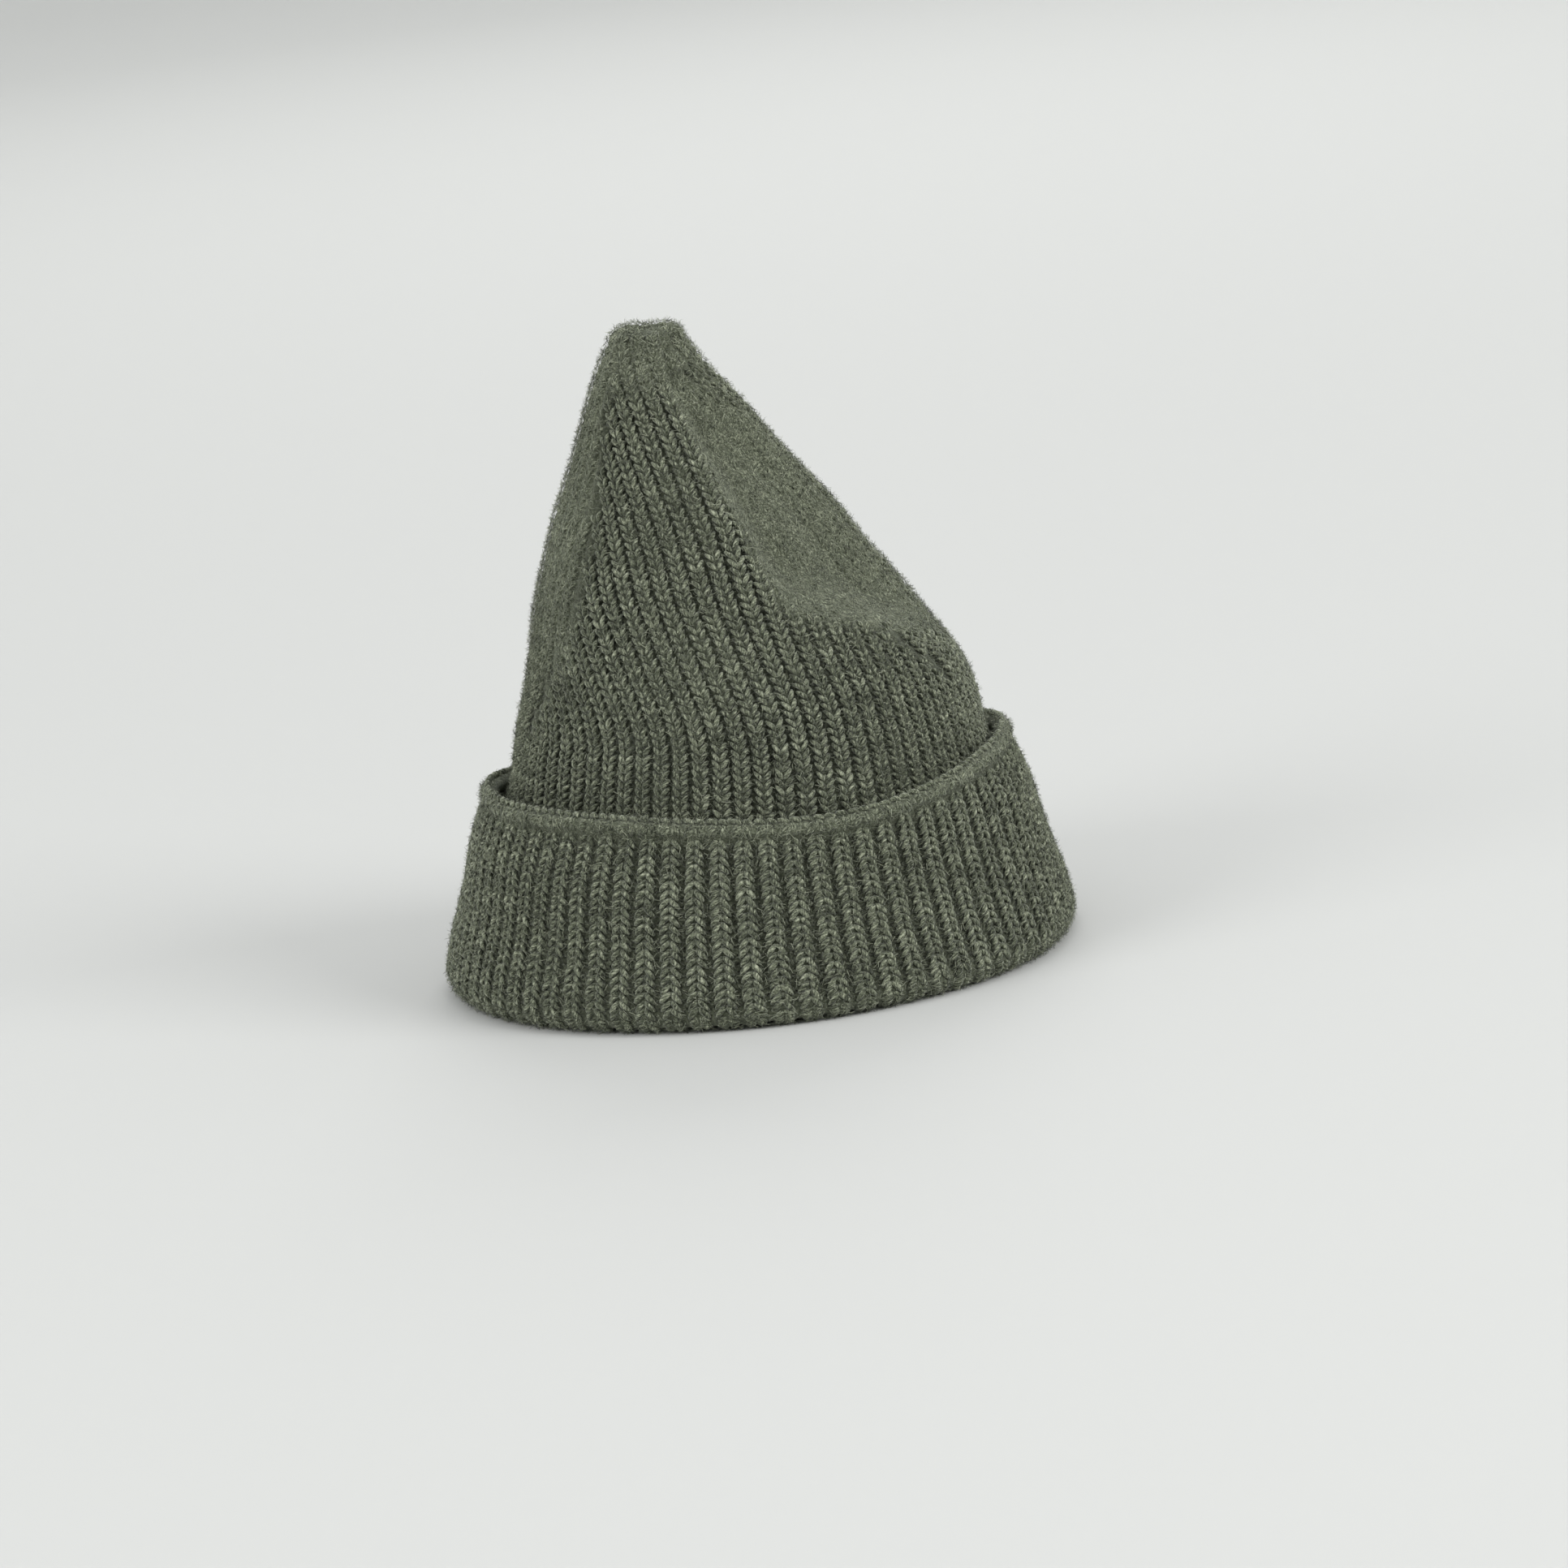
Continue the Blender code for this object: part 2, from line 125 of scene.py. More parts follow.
# ---- surfaces ----
def smooth_rows(rows, height):
    """Columns of a profile at the given heights, on a smooth curve through its rows."""
    rows = np.asarray(rows, float)
    height = np.asarray(height, float)
    levels = rows[:, 0]
    low = np.clip(np.searchsorted(levels, height, side="right") - 1, 0, len(levels) - 2)
    high = low + 1
    before, after = np.maximum(low - 1, 0), np.minimum(low + 2, len(levels) - 1)
    span = levels[high] - levels[low]
    t = (height - levels[low]) / span
    found = []
    for column in rows.T[1:]:
        slope_low = (column[high] - column[before]) / (levels[high] - levels[before]) * span
        slope_high = (column[after] - column[low]) / (levels[after] - levels[low]) * span
        found.append((2 * t**3 - 3 * t**2 + 1) * column[low] + (t**3 - 2 * t**2 + t) * slope_low
                     + (3 * t**2 - 2 * t**3) * column[high] + (t**3 - t**2) * slope_high)
    return found


def bump(distance, spread):
    return np.exp(-0.5 * (distance / spread) ** 2)


def plateau(value, limits):
    """Rises smoothly from 0 to 1 between the first two limits, and falls between the last two."""
    def step(low, high):
        t = np.clip((value - low) / (high - low), 0, 1)
        return t * t * (3 - 2 * t)
    return step(limits[0], limits[1]) * (1.0 - step(limits[2], limits[3]))


def signed(angle):
    """An angle from -180 to 180 degrees."""
    return (np.asarray(angle, float) + 180.0) % 360.0 - 180.0


def from_ridge(angle, height):
    """Degrees to the right of the fold that runs down the front of the peak."""
    return signed(angle) - RIDGE_ANGLE - RIDGE_TURN * (height - RIDGE_HEIGHT)


def hollow(angle, height):
    """The hollow beside the fold: 0 outside it, 1 on its floor."""
    turn = from_ridge(angle, height)
    return plateau(turn, HOLLOW_SIDES) * plateau(height + HOLLOW_SLANT * (turn - 30.0), HOLLOW_LEVELS)


def waver(angle, level):
    """Slow unevenness of hand-worn fabric, under a millimetre."""
    a = np.radians(angle)
    return MM * (0.35 * np.sin(3 * a + 90 * level) + 0.25 * np.sin(7 * a - 60 * level + 1.3)
                 + 0.20 * np.sin(2 * a + 210 * level + 0.7))


def crown_surface(angle, level):
    """Outer face of the crown. Level is the height up to the shoulder, then the way over the tip."""
    angle, level = np.broadcast_arrays(np.asarray(angle, float), np.asarray(level, float))
    height = np.minimum(level, SHOULDER)
    turn_in = np.clip((level - SHOULDER) / DOME_ARC, 0, 1) * math.pi / 2
    centre, half_width, depth_share = smooth_rows(CROWN_ROWS, height)
    ridge = bump(from_ridge(angle, height), RIDGE_SPREAD) * bump(height - RIDGE_HEIGHT, RIDGE_REACH)
    relief = RIDGE_RISE * ridge - HOLLOW_SHARE * half_width * hollow(angle, height)
    fade = np.clip((SHOULDER - height) / 0.02, 0, 1)
    reach = (half_width + relief + waver(angle, level) * fade) * np.cos(turn_in)
    radians = np.radians(angle)
    x = reach * np.sin(radians)
    pinch = PINCH_DEPTH * bump(x - 1.0 * MM, PINCH_SPREAD) * np.sin(turn_in) ** 2
    z = height + (TIP_TOP - SHOULDER) * np.sin(turn_in) - pinch
    return np.stack([centre + x, -reach * depth_share * np.cos(radians), z], -1)


EDGE_STEPS = 9                  # outline points round the cast-on edge
CUFF_LEVEL = WELT_TOP - 5.5 * MM            # where the cuff becomes its rolled edge
EDGE_RADIUS = float(smooth_rows(CUFF_ROWS, CUFF_LEVEL)[0]) - ROLL + 0.3 * MM


def folded_outline():
    """Outer outline of the folded band, radius and height: from its edge down, round the fold and up."""
    points = []
    for turn in np.linspace(0.75 * math.pi, 0.0, EDGE_STEPS):
        points.append((EDGE_RADIUS + ROLL * math.cos(turn), WELT_TOP - ROLL + ROLL * math.sin(turn)))
    for height in np.linspace(WELT_TOP - ROLL - 1.6 * MM, FOLD_TOP, 24):
        points.append((float(smooth_rows(CUFF_ROWS, height)[0]), height))
    inner_radius = float(smooth_rows(BAND_ROWS, FOLD_TOP)[0]) - FABRIC
    middle, half = (RIM_RADIUS + inner_radius) / 2, (RIM_RADIUS - inner_radius) / 2
    for turn in np.linspace(0.0, math.pi, 17)[1:-1]:
        points.append((middle + half * math.cos(turn), FOLD_TOP * (1 - math.sin(turn) ** 0.8)))
    for height in np.linspace(FOLD_TOP, BAND_TOP, 24):
        points.append((float(smooth_rows(BAND_ROWS, height)[0]) - FABRIC, height))
    return np.array(points)


OUTLINE = folded_outline()
OUTLINE_WAY = np.concatenate([[0.0], np.cumsum(np.linalg.norm(np.diff(OUTLINE, axis=0), axis=1))])
OUTLINE_LENGTH = OUTLINE_WAY[-1]
CUFF_START = OUTLINE_WAY[EDGE_STEPS]        # the way along the outline where the cuff's ribs begin
FOLD_WAY = OUTLINE_WAY[np.argmin(OUTLINE[:, 1])]
EDGE_FADE = OUTLINE_WAY[3]                  # where those ribs are lost over the cast-on edge
OUTSIDE_END = FOLD_WAY + 7.0 * MM           # where the outside of the fold ends and the band begins
WAY_OF_LABEL = OUTLINE_LENGTH - (BAND_TOP - LABEL_BOTTOM - LABEL_HEIGHT)
BAND_MIDDLE = float(smooth_rows(BAND_ROWS, LABEL_BOTTOM + LABEL_HEIGHT / 2)[0])
LABEL_START = SEAM_ANGLE + math.degrees(4 * MM / BAND_MIDDLE)


def edge_lift(angle):
    """How much higher the cuff's edge is than its mean height: it sags at the front and dips at the back."""
    radians = np.radians(angle)
    sag = CUFF_SAG * bump(signed(angle) - SAG_ANGLE, SAG_SPREAD)
    return CUFF_RISE * np.sin(radians) - sag - CUFF_DIP * np.maximum(0.0, -np.cos(radians)) ** 1.2


def on_cuff(angle, radius, height):
    """Points of the cuff, whose rows lie closer together, and further out, where its edge is low."""
    share = (np.clip(height, FOLD_TOP, WELT_TOP - ROLL) - FOLD_TOP) / (WELT_TOP - FOLD_TOP)
    lift = edge_lift(angle) * share
    base = np.clip(height, FOLD_TOP, CUFF_LEVEL)
    spread = smooth_rows(CUFF_ROWS, base + lift)[0] - smooth_rows(CUFF_ROWS, base)[0]
    reach = radius + spread + waver(angle, height)
    radians = np.radians(angle)
    x = CUFF_SHIFT * share**2 + reach * np.sin(radians)
    return np.stack([x, -reach * np.cos(radians), height + lift], -1)


def on_band(angle, radius, height):
    reach = radius + 0.3 * waver(angle, height)
    radians = np.radians(angle)
    shift = CROWN_ROWS[0][1] * np.clip((height - FOLD_TOP) / (BAND_TOP - FOLD_TOP), 0, 1)
    return np.stack([shift + reach * np.sin(radians), -reach * np.cos(radians), height], -1)


def folded_surface(angle, way):
    """Outer face of the folded band, a distance along it from its cast-on edge."""
    angle, way = np.broadcast_arrays(np.asarray(angle, float), np.asarray(way, float))
    radius = np.interp(way, OUTLINE_WAY, OUTLINE[:, 0])
    height = np.interp(way, OUTLINE_WAY, OUTLINE[:, 1])
    outside = np.clip((FOLD_WAY + 3 * MM - way) / (6 * MM), 0, 1)[..., None]
    return on_cuff(angle, radius, height) * outside + on_band(angle, radius, height) * (1 - outside)


def unit(vectors):
    return vectors / np.maximum(np.linalg.norm(vectors, axis=-1, keepdims=True), 1e-12)


def outward(surface, angle, level, sign=1.0):
    """Unit normals of a surface, pointing away from the fabric."""
    across = surface(angle + 0.4, level) - surface(angle - 0.4, level)
    along = surface(angle, level + 0.4 * MM) - surface(angle, level - 0.4 * MM)
    return sign * unit(np.cross(across, along))


def felting(angle, level):
    """How far rubbing has felted the knit, from 0, crisp ribs, to 1, ribs lost under the nap."""
    height = np.minimum(level, SHOULDER)
    turn = from_ridge(angle, height)
    left_side = plateau(signed(angle), (-178.0, -150.0, -60.0, -44.0))
    side = 0.75 * left_side * plateau(height, (0.082, 0.115, 0.3, 0.4))
    beside = plateau(turn, (-2.0, 8.0, 62.0, 96.0))
    in_hollow = 0.95 * beside * plateau(height + HOLLOW_SLANT * (turn - 30.0), (0.098, 0.108, 0.166, 0.190))
    tip = 0.55 * plateau(level, (0.166, 0.182, 0.4, 0.5))
    a = np.radians(angle)
    patches = 0.12 + 0.12 * np.sin(2 * a + 55 * level) * np.sin(3 * a - 80 * level + 1.0)
    return np.clip(np.maximum(np.maximum(side, in_hollow), tip) + patches, 0, 1)


# ---- where the ribs run ----
def gore_line(gore, level):
    """Angle of a gore's left line: the front ones swing out to the sides lower down."""
    gore = np.asarray(gore)
    swing = LINE_SWINGS[gore % GORES] * (1.0 - plateau(level, (LINE_LOW, LINE_HIGH, 1.0, 2.0)))
    return GORE_LINE + GORE_SPAN * gore + swing


def gore_at(angle, level):
    """Which gore a point of the crown lies in."""
    found = np.zeros(np.shape(angle), int)
    for gore in range(GORES):
        left, right = gore_line(gore, level), gore_line(gore + 1, level)
        found = np.where((angle - left) % 360.0 < (right - left) % 360.0, gore, found)
    return found


def ribs_in_gore(level):
    """How many ribs a gore is wide: fewer towards the tip."""
    _, half_width, depth_share = smooth_rows(CROWN_ROWS, np.minimum(level, SHOULDER))
    girth = math.pi * half_width * (1 + depth_share)
    pitch = CROWN_PITCH + (TIP_PITCH - CROWN_PITCH) * np.clip((level - 0.120) / 0.045, 0, 1)
    return np.clip(girth / GORES / pitch, 3.0, RIBS_IN_GORE)


def crown_rib_share(rib, level):
    """Where a rib lies across the top of its gore, from the right line, 0, to the left line, 1."""
    return ANCHOR + (rib - ANCHOR * RIBS_IN_GORE) / ribs_in_gore(level)


def crown_rib_angle(gore, rib, level):
    right_line = GORE_LINE + GORE_SPAN * (gore + 1)
    return right_line - GORE_SPAN * crown_rib_share(rib, level)


def crown_rib_phase(angle, level):
    """Position across the ribs: whole numbers lie in the grooves, halves on the crests."""
    right_line = GORE_LINE + GORE_SPAN * (gore_at(angle, level) + 1)
    share = signed(right_line - angle) / GORE_SPAN
    return (share - ANCHOR) * ribs_in_gore(level) + ANCHOR * RIBS_IN_GORE


def crest(phase):
    """1 on the crest of a rib and 0 in the grooves beside it."""
    return 0.5 - 0.5 * np.cos(2 * math.pi * phase)


# ---- mesh helpers ----
def new_object(name, data):
    made = bpy.data.objects.new(name, data)
    bpy.context.scene.collection.objects.link(made)
    return made


def grid_faces(rows, columns):
    """Faces of an open grid of points."""
    index = np.arange(rows * columns).reshape(rows, columns)
    return np.stack([index[:-1, :-1], index[:-1, 1:], index[1:, 1:], index[1:, :-1]], -1).reshape(-1, 4)


def grid_mesh(name, points, closed_rows):
    """Mesh of a grid of points (rows, columns, 3) whose columns close round; rows may close too."""
    rows, columns, _ = points.shape
    index = np.arange(rows * columns).reshape(rows, columns)
    if closed_rows:
        index = np.vstack([index, index[:1]])
    low, high = index[:-1], index[1:]
    right = np.roll(low, -1, axis=1), np.roll(high, -1, axis=1)
    faces = np.stack([low, right[0], right[1], high], -1).reshape(-1, 4)
    mesh = bpy.data.meshes.new(name)
    mesh.from_pydata(points.reshape(-1, 3).tolist(), [], faces.tolist())
    return mesh


def closed_tube(name, line, radii, sides, flat=1.0):
    """Mesh of a closed tube along a line, with its own UV."""
    verts, faces, uvs = tube_template(line, radii, sides, flat)
    mesh = bpy.data.meshes.new(name)
    mesh.from_pydata([tuple(v) for v in verts], [], faces)
    layer = mesh.uv_layers.new(name="yarn")
    layer.data.foreach_set("uv", np.array(uvs, np.float32).ravel())
    return turn_outward(mesh)


def join_meshes(name, meshes):
    """One mesh of several, with their attributes kept."""
    helpers = [new_object(name, mesh) for mesh in meshes]
    with bpy.context.temp_override(active_object=helpers[0], selected_editable_objects=helpers):
        bpy.ops.object.join()
    joined = helpers[0].data
    bpy.data.objects.remove(helpers[0])
    return joined


def make_piece(name, mesh, material):
    mesh.name = name
    mesh.materials.clear()
    mesh.materials.append(material)
    mesh.shade_smooth()
    return new_object(name, mesh)


def turn_outward(mesh):
    """Face normals outwards on a closed mesh: its signed volume is then positive."""
    mesh.calc_loop_triangles()
    corners = np.array([t.vertices for t in mesh.loop_triangles])
    where = np.array([v.co for v in mesh.vertices])
    a, b, c = where[corners[:, 0]], where[corners[:, 1]], where[corners[:, 2]]
    if np.einsum("ij,ij->", a, np.cross(b, c)) < 0:
        mesh.flip_normals()
    return mesh


def tube_template(line, radii, sides, flat=1.0):
    """Closed tapered tube along a line, with its own UV: u round the yarn and v along it."""
    line = np.array(line, float)
    verts, faces, uvs = [], [], []
    side_way = np.array([1.0, 0.0, 0.0])
    for k, (point, radius) in enumerate(zip(line, radii)):
        way = unit((line[min(k + 1, len(line) - 1)] - line[max(k - 1, 0)])[None])[0]
        side = unit((side_way - way * (side_way @ way))[None])[0]
        front = np.cross(way, side)
        for s in range(sides):
            turn = 2 * math.pi * s / sides
            verts.append(point + radius * (side * math.cos(turn) + front * flat * math.sin(turn)))
    for k in range(len(line) - 1):
        for s in range(sides):
            after = (s + 1) % sides
            faces.append((k * sides + s, k * sides + after, (k + 1) * sides + after, (k + 1) * sides + s))
            v = (k / (len(line) - 1), (k + 1) / (len(line) - 1))
            uvs += [(s / sides, v[0]), ((s + 1) / sides, v[0]), ((s + 1) / sides, v[1]), (s / sides, v[1])]
    faces.append(tuple(reversed(range(sides))))
    faces.append(tuple((len(line) - 1) * sides + s for s in range(sides)))
    uvs += [(0.0, 0.0)] * sides + [(0.0, 1.0)] * sides
    return verts, faces, uvs


def hair_template(line, radius):
    """Closed three-sided hair that tapers to a point."""
    verts, faces, uvs = tube_template(line[:-1], [radius * (1 - 0.22 * k) for k in range(len(line) - 1)], 3)
    verts.append(np.array(line[-1], float))
    faces.pop()
    uvs = uvs[:-3]
    base = (len(line) - 2) * 3
    for s in range(3):
        faces.append((base + s, base + (s + 1) % 3, len(verts) - 1))
        uvs += [(0.0, 1.0)] * 3
    return verts, faces, uvs


def template_object(name, parts):
    """A small helper mesh that the node trees repeat."""
    verts, faces, uvs = [], [], []
    for part_verts, part_faces, part_uvs in parts:
        base = len(verts)
        verts += [tuple(v) for v in part_verts]
        faces += [tuple(base + i for i in face) for face in part_faces]
        uvs += part_uvs
    mesh = bpy.data.meshes.new(name)
    mesh.from_pydata(verts, [], faces)
    layer = mesh.uv_layers.new(name="yarn")
    layer.data.foreach_set("uv", np.array(uvs, np.float32).ravel())
    turn_outward(mesh)
    mesh.shade_smooth()
    return new_object(name, mesh)


# ---- node trees ----
def add_node(group, kind, inputs, settings):
    """A node with its settings, each of its inputs either joined to a socket or given a value."""
    node = group.nodes.new(kind)
    for key, value in settings.items():
        setattr(node, key, value)
    for key, value in dict(inputs).items():
        if isinstance(value, bpy.types.NodeSocket):
            group.links.new(value, node.inputs[key])
        else:
            node.inputs[key].default_value = value
    return node


class Tree:
    """A Geometry Nodes tree with named inputs, built node by node."""

    def __init__(self, name, inputs):
        self.group = bpy.data.node_groups.new(name, "GeometryNodeTree")
        interface = self.group.interface
        interface.new_socket("Geometry", in_out="INPUT", socket_type="NodeSocketGeometry")
        for label, kind in inputs:
            interface.new_socket(label, in_out="INPUT", socket_type="NodeSocket" + kind)
        interface.new_socket("Geometry", in_out="OUTPUT", socket_type="NodeSocketGeometry")
        self.start = self.group.nodes.new("NodeGroupInput")
        self.end = self.group.nodes.new("NodeGroupOutput")

    def add(self, kind, inputs=(), **settings):
        return add_node(self.group, kind, inputs, settings)

    def given(self, label):
        return self.start.outputs[label]

    def close(self, instances, seed):
        """Give each instance its own tint, make them all real and set their material."""
        tinted = self.add("GeometryNodeStoreNamedAttribute",
                          {"Geometry": instances, "Name": "tint",
                           "Value": random_value(self, 0.0, 1.0, seed)}, data_type="FLOAT", domain="INSTANCE")
        real = self.add("GeometryNodeRealizeInstances", {"Geometry": tinted.outputs[0]})
        painted = self.add("GeometryNodeSetMaterial",
                           {"Geometry": real.outputs[0], "Material": self.given("Material")})
        self.group.links.new(painted.outputs[0], self.end.inputs[0])

    def apply(self, sites, values):
        """Run the tree on an object and return the plain mesh."""
        modifier = sites.modifiers.new("knit", "NODES")
        modifier.node_group = self.group
        for item in self.group.interface.items_tree:
            if item.in_out == "INPUT" and item.name in values:
                modifier[item.identifier] = values[item.name]
        depsgraph = bpy.context.evaluated_depsgraph_get()
        mesh = bpy.data.meshes.new_from_object(sites.evaluated_get(depsgraph))
        sites.modifiers.remove(modifier)
        for extra in ("out", "up", "fit", "nap"):
            if extra in mesh.attributes:
                mesh.attributes.remove(mesh.attributes[extra])
        return mesh


def random_value(tree, low, high, seed, vector=False):
    node = tree.add("FunctionNodeRandomValue", data_type="FLOAT_VECTOR" if vector else "FLOAT")
    node.inputs[0 if vector else 2].default_value = low
    node.inputs[1 if vector else 3].default_value = high
    add = tree.add("FunctionNodeIntegerMath", operation="ADD")
    tree.group.links.new(tree.given("Seed"), add.inputs[0])
    add.inputs[1].default_value = seed
    tree.group.links.new(add.outputs[0], node.inputs["Seed"])
    return node.outputs[0 if vector else 1]


def stitch_tree():
    """Sets a stitch on every site, turned to the site's own axes and sized by its fit."""
    tree = Tree("set_stitches", (("Stitch", "Object"), ("Unevenness", "Float"), ("Seed", "Int"),
                                 ("Material", "Material")))
    named = {}
    for name in ("out", "up", "fit"):
        node = tree.add("GeometryNodeInputNamedAttribute", {"Name": name}, data_type="FLOAT_VECTOR")
        named[name] = node.outputs["Attribute"]
    axes = tree.add("FunctionNodeAxesToRotation",
                    {"Primary Axis": named["out"], "Secondary Axis": named["up"]},
                    primary_axis="Z", secondary_axis="Y")
    sway = tree.add("ShaderNodeVectorMath", operation="SCALE")
    tree.group.links.new(random_value(tree, (-1, -1, -1), (1, 1, 1), 1, vector=True), sway.inputs[0])
    tree.group.links.new(tree.given("Unevenness"), sway.inputs["Scale"])
    turned = tree.add("FunctionNodeRotateRotation",
                      {"Rotation": axes.outputs[0], "Rotate By": sway.outputs[0]}, rotation_space="LOCAL")
    size = tree.add("ShaderNodeVectorMath", operation="MULTIPLY")
    tree.group.links.new(named["fit"], size.inputs[0])
    change = random_value(tree, (0.94, 0.95, 0.92), (1.06, 1.06, 1.10), 2, vector=True)
    tree.group.links.new(change, size.inputs[1])
    info = tree.add("GeometryNodeObjectInfo", {"Object": tree.given("Stitch"), "As Instance": True})
    placed = tree.add("GeometryNodeInstanceOnPoints",
                      {"Points": tree.given("Geometry"), "Instance": info.outputs["Geometry"],
                       "Rotation": turned.outputs[0], "Scale": size.outputs[0]})
    tree.close(placed.outputs[0], 3)
    return tree


def fuzz_tree():
    """Scatters loose fibres over a surface, most of them lying nearly flat."""
    tree = Tree("scatter_fibres", (("Fibre", "Object"), ("Density", "Float"), ("Least tilt", "Float"),
                                   ("Most tilt", "Float"), ("Least size", "Float"), ("Most size", "Float"),
                                   ("Seed", "Int"), ("Material", "Material")))
    nap = tree.add("GeometryNodeInputNamedAttribute", {"Name": "nap"}, data_type="FLOAT").outputs["Attribute"]
    density = tree.add("ShaderNodeMath", {0: nap, 1: tree.given("Density")}, operation="MULTIPLY").outputs[0]
    points = tree.add("GeometryNodeDistributePointsOnFaces",
                      {"Mesh": tree.given("Geometry"), "Density": density, "Seed": tree.given("Seed")})
    spin = tree.add("ShaderNodeCombineXYZ", {"Z": random_value(tree, 0.0, 2 * math.pi, 4)})
    spun = tree.add("FunctionNodeRotateRotation",
                    {"Rotation": points.outputs["Rotation"], "Rotate By": spin.outputs[0]},
                    rotation_space="LOCAL")
    chance = random_value(tree, 0.0, 1.0, 5)
    tilt = tree.add("ShaderNodeMapRange", {"Value": chance, "To Min": tree.given("Least tilt"),
                                           "To Max": tree.given("Most tilt")})
    lean = tree.add("ShaderNodeCombineXYZ", {"X": tilt.outputs[0]})
    leant = tree.add("FunctionNodeRotateRotation",
                     {"Rotation": spun.outputs[0], "Rotate By": lean.outputs[0]}, rotation_space="LOCAL")
    second = random_value(tree, 0.0, 1.0, 6)
    size = tree.add("ShaderNodeMapRange", {"Value": second, "To Min": tree.given("Least size"),
                                           "To Max": tree.given("Most size")})
    info = tree.add("GeometryNodeObjectInfo", {"Object": tree.given("Fibre"), "As Instance": True})
    placed = tree.add("GeometryNodeInstanceOnPoints",
                      {"Points": points.outputs["Points"], "Instance": info.outputs["Geometry"],
                       "Rotation": leant.outputs[0], "Scale": size.outputs[0]})
    tree.close(placed.outputs[0], 7)
    return tree


def sites_object(name, points, out, up, fit):
    mesh = bpy.data.meshes.new(name)
    mesh.from_pydata(points.tolist(), [], [])
    for label, values in (("out", out), ("up", up), ("fit", fit)):
        layer = mesh.attributes.new(label, "FLOAT_VECTOR", "POINT")
        layer.data.foreach_set("vector", np.asarray(values, np.float32).ravel())
    return new_object(name, mesh)


# ---- materials ----
class Paint:
    """A material's node tree, with short ways to add and join nodes."""

    def __init__(self, name, roughness, sheen=0.0, sheen_roughness=0.5, sheen_tint=(1, 1, 1), specular=0.3):
        self.material = bpy.data.materials.new(name)
        self.material.use_nodes = True
        self.links = self.material.node_tree.links
        self.shader = self.material.node_tree.nodes["Principled BSDF"]
        for label, value in (("Roughness", roughness), ("Specular IOR Level", specular),
                             ("Sheen Weight", sheen), ("Sheen Roughness", sheen_roughness),
                             ("Sheen Tint", (*sheen_tint, 1.0))):
            self.shader.inputs[label].default_value = value

    def add(self, kind, inputs=(), **settings):
        return add_node(self.material.node_tree, kind, inputs, settings)

    def maths(self, operation, a, b=0.0):
        return self.add("ShaderNodeMath", {0: a, 1: b}, operation=operation).outputs[0]

    def noise(self, vector, scale, detail=2.0, roughness=0.5):
        return self.add("ShaderNodeTexNoise", {"Vector": vector, "Scale": scale, "Detail": detail,
                                               "Roughness": roughness}).outputs["Fac"]

    def ramp(self, value, stops):
        node = self.add("ShaderNodeValToRGB", {"Fac": value})
        stops_in_node = node.color_ramp.elements
        while len(stops_in_node) < len(stops):
            stops_in_node.new(0.5)
        for element, (place, colour) in zip(stops_in_node, stops):
            element.position = place
            element.color = (*colour, 1.0)
        return node.outputs["Color"]

    def mix(self, amount, a, b, blend="MIX"):
        node = self.add("ShaderNodeMix", data_type="RGBA", blend_type=blend)
        for key, value in ((0, amount), (6, a), (7, b)):
            if isinstance(value, bpy.types.NodeSocket):
                self.links.new(value, node.inputs[key])
            else:
                node.inputs[key].default_value = value if key == 0 else (*value, 1.0)
        return node.outputs[2]

    def finish(self, colour, height=None, depth=0.2 * MM, strength=0.6):
        self.links.new(colour, self.shader.inputs["Base Color"])
        if height is not None:
            node = self.add("ShaderNodeBump", {"Height": height, "Distance": depth, "Strength": strength})
            self.links.new(node.outputs[0], self.shader.inputs["Normal"])
        return self.material


HEATHER = ((0.024, 0.027, 0.019), (0.084, 0.093, 0.063), (0.178, 0.196, 0.136), (0.430, 0.455, 0.335))
SHEEN_TINT = (0.84, 0.88, 0.78)


def scaled(colour, share):
    return tuple(c * share for c in colour)


def yarn_paint(name, shade):
    """Heathered wool yarn: fibres twisted round it, in mixed tints."""
    paint = Paint(name, 0.95, sheen=0.45, sheen_roughness=0.45, sheen_tint=SHEEN_TINT, specular=0.12)
    place = paint.add("ShaderNodeTexCoord").outputs["Object"]
    round_and_along = paint.add("ShaderNodeUVMap", uv_map="yarn").outputs[0]
    parts = paint.add("ShaderNodeSeparateXYZ", {0: round_and_along})
    tint = paint.add("ShaderNodeAttribute", attribute_name="tint").outputs["Fac"]
    twist = paint.maths("ADD", parts.outputs[0], paint.maths("MULTIPLY", parts.outputs[1], -0.9))
    flow = paint.add("ShaderNodeCombineXYZ", {0: paint.maths("MULTIPLY", twist, 9.0),
                                              1: paint.maths("MULTIPLY", parts.outputs[1], 3.2),
                                              2: paint.maths("MULTIPLY", tint, 50.0)}).outputs[0]
    fibres = paint.noise(flow, 1.0, 2.0, 0.6)
    flecks = paint.noise(place, 1500.0, 2.0, 0.7)
    patches = paint.noise(place, 120.0, 2.0, 0.5)
    total = paint.maths("ADD", paint.maths("MULTIPLY", fibres, 0.65), paint.maths("MULTIPLY", flecks, 0.35))
    total = paint.maths("ADD", total, paint.maths("MULTIPLY", paint.maths("SUBTRACT", patches, 0.5), 0.08))
    total = paint.maths("ADD", total, paint.maths("MULTIPLY", paint.maths("SUBTRACT", tint, 0.5), 0.05))
    colour = paint.ramp(total, [(0.38, scaled(HEATHER[0], shade)), (0.46, scaled(HEATHER[1], shade)),
                                (0.54, scaled(HEATHER[2], shade)), (0.64, scaled(HEATHER[3], shade))])
    return paint.finish(colour, fibres, 0.35 * MM, 0.9)


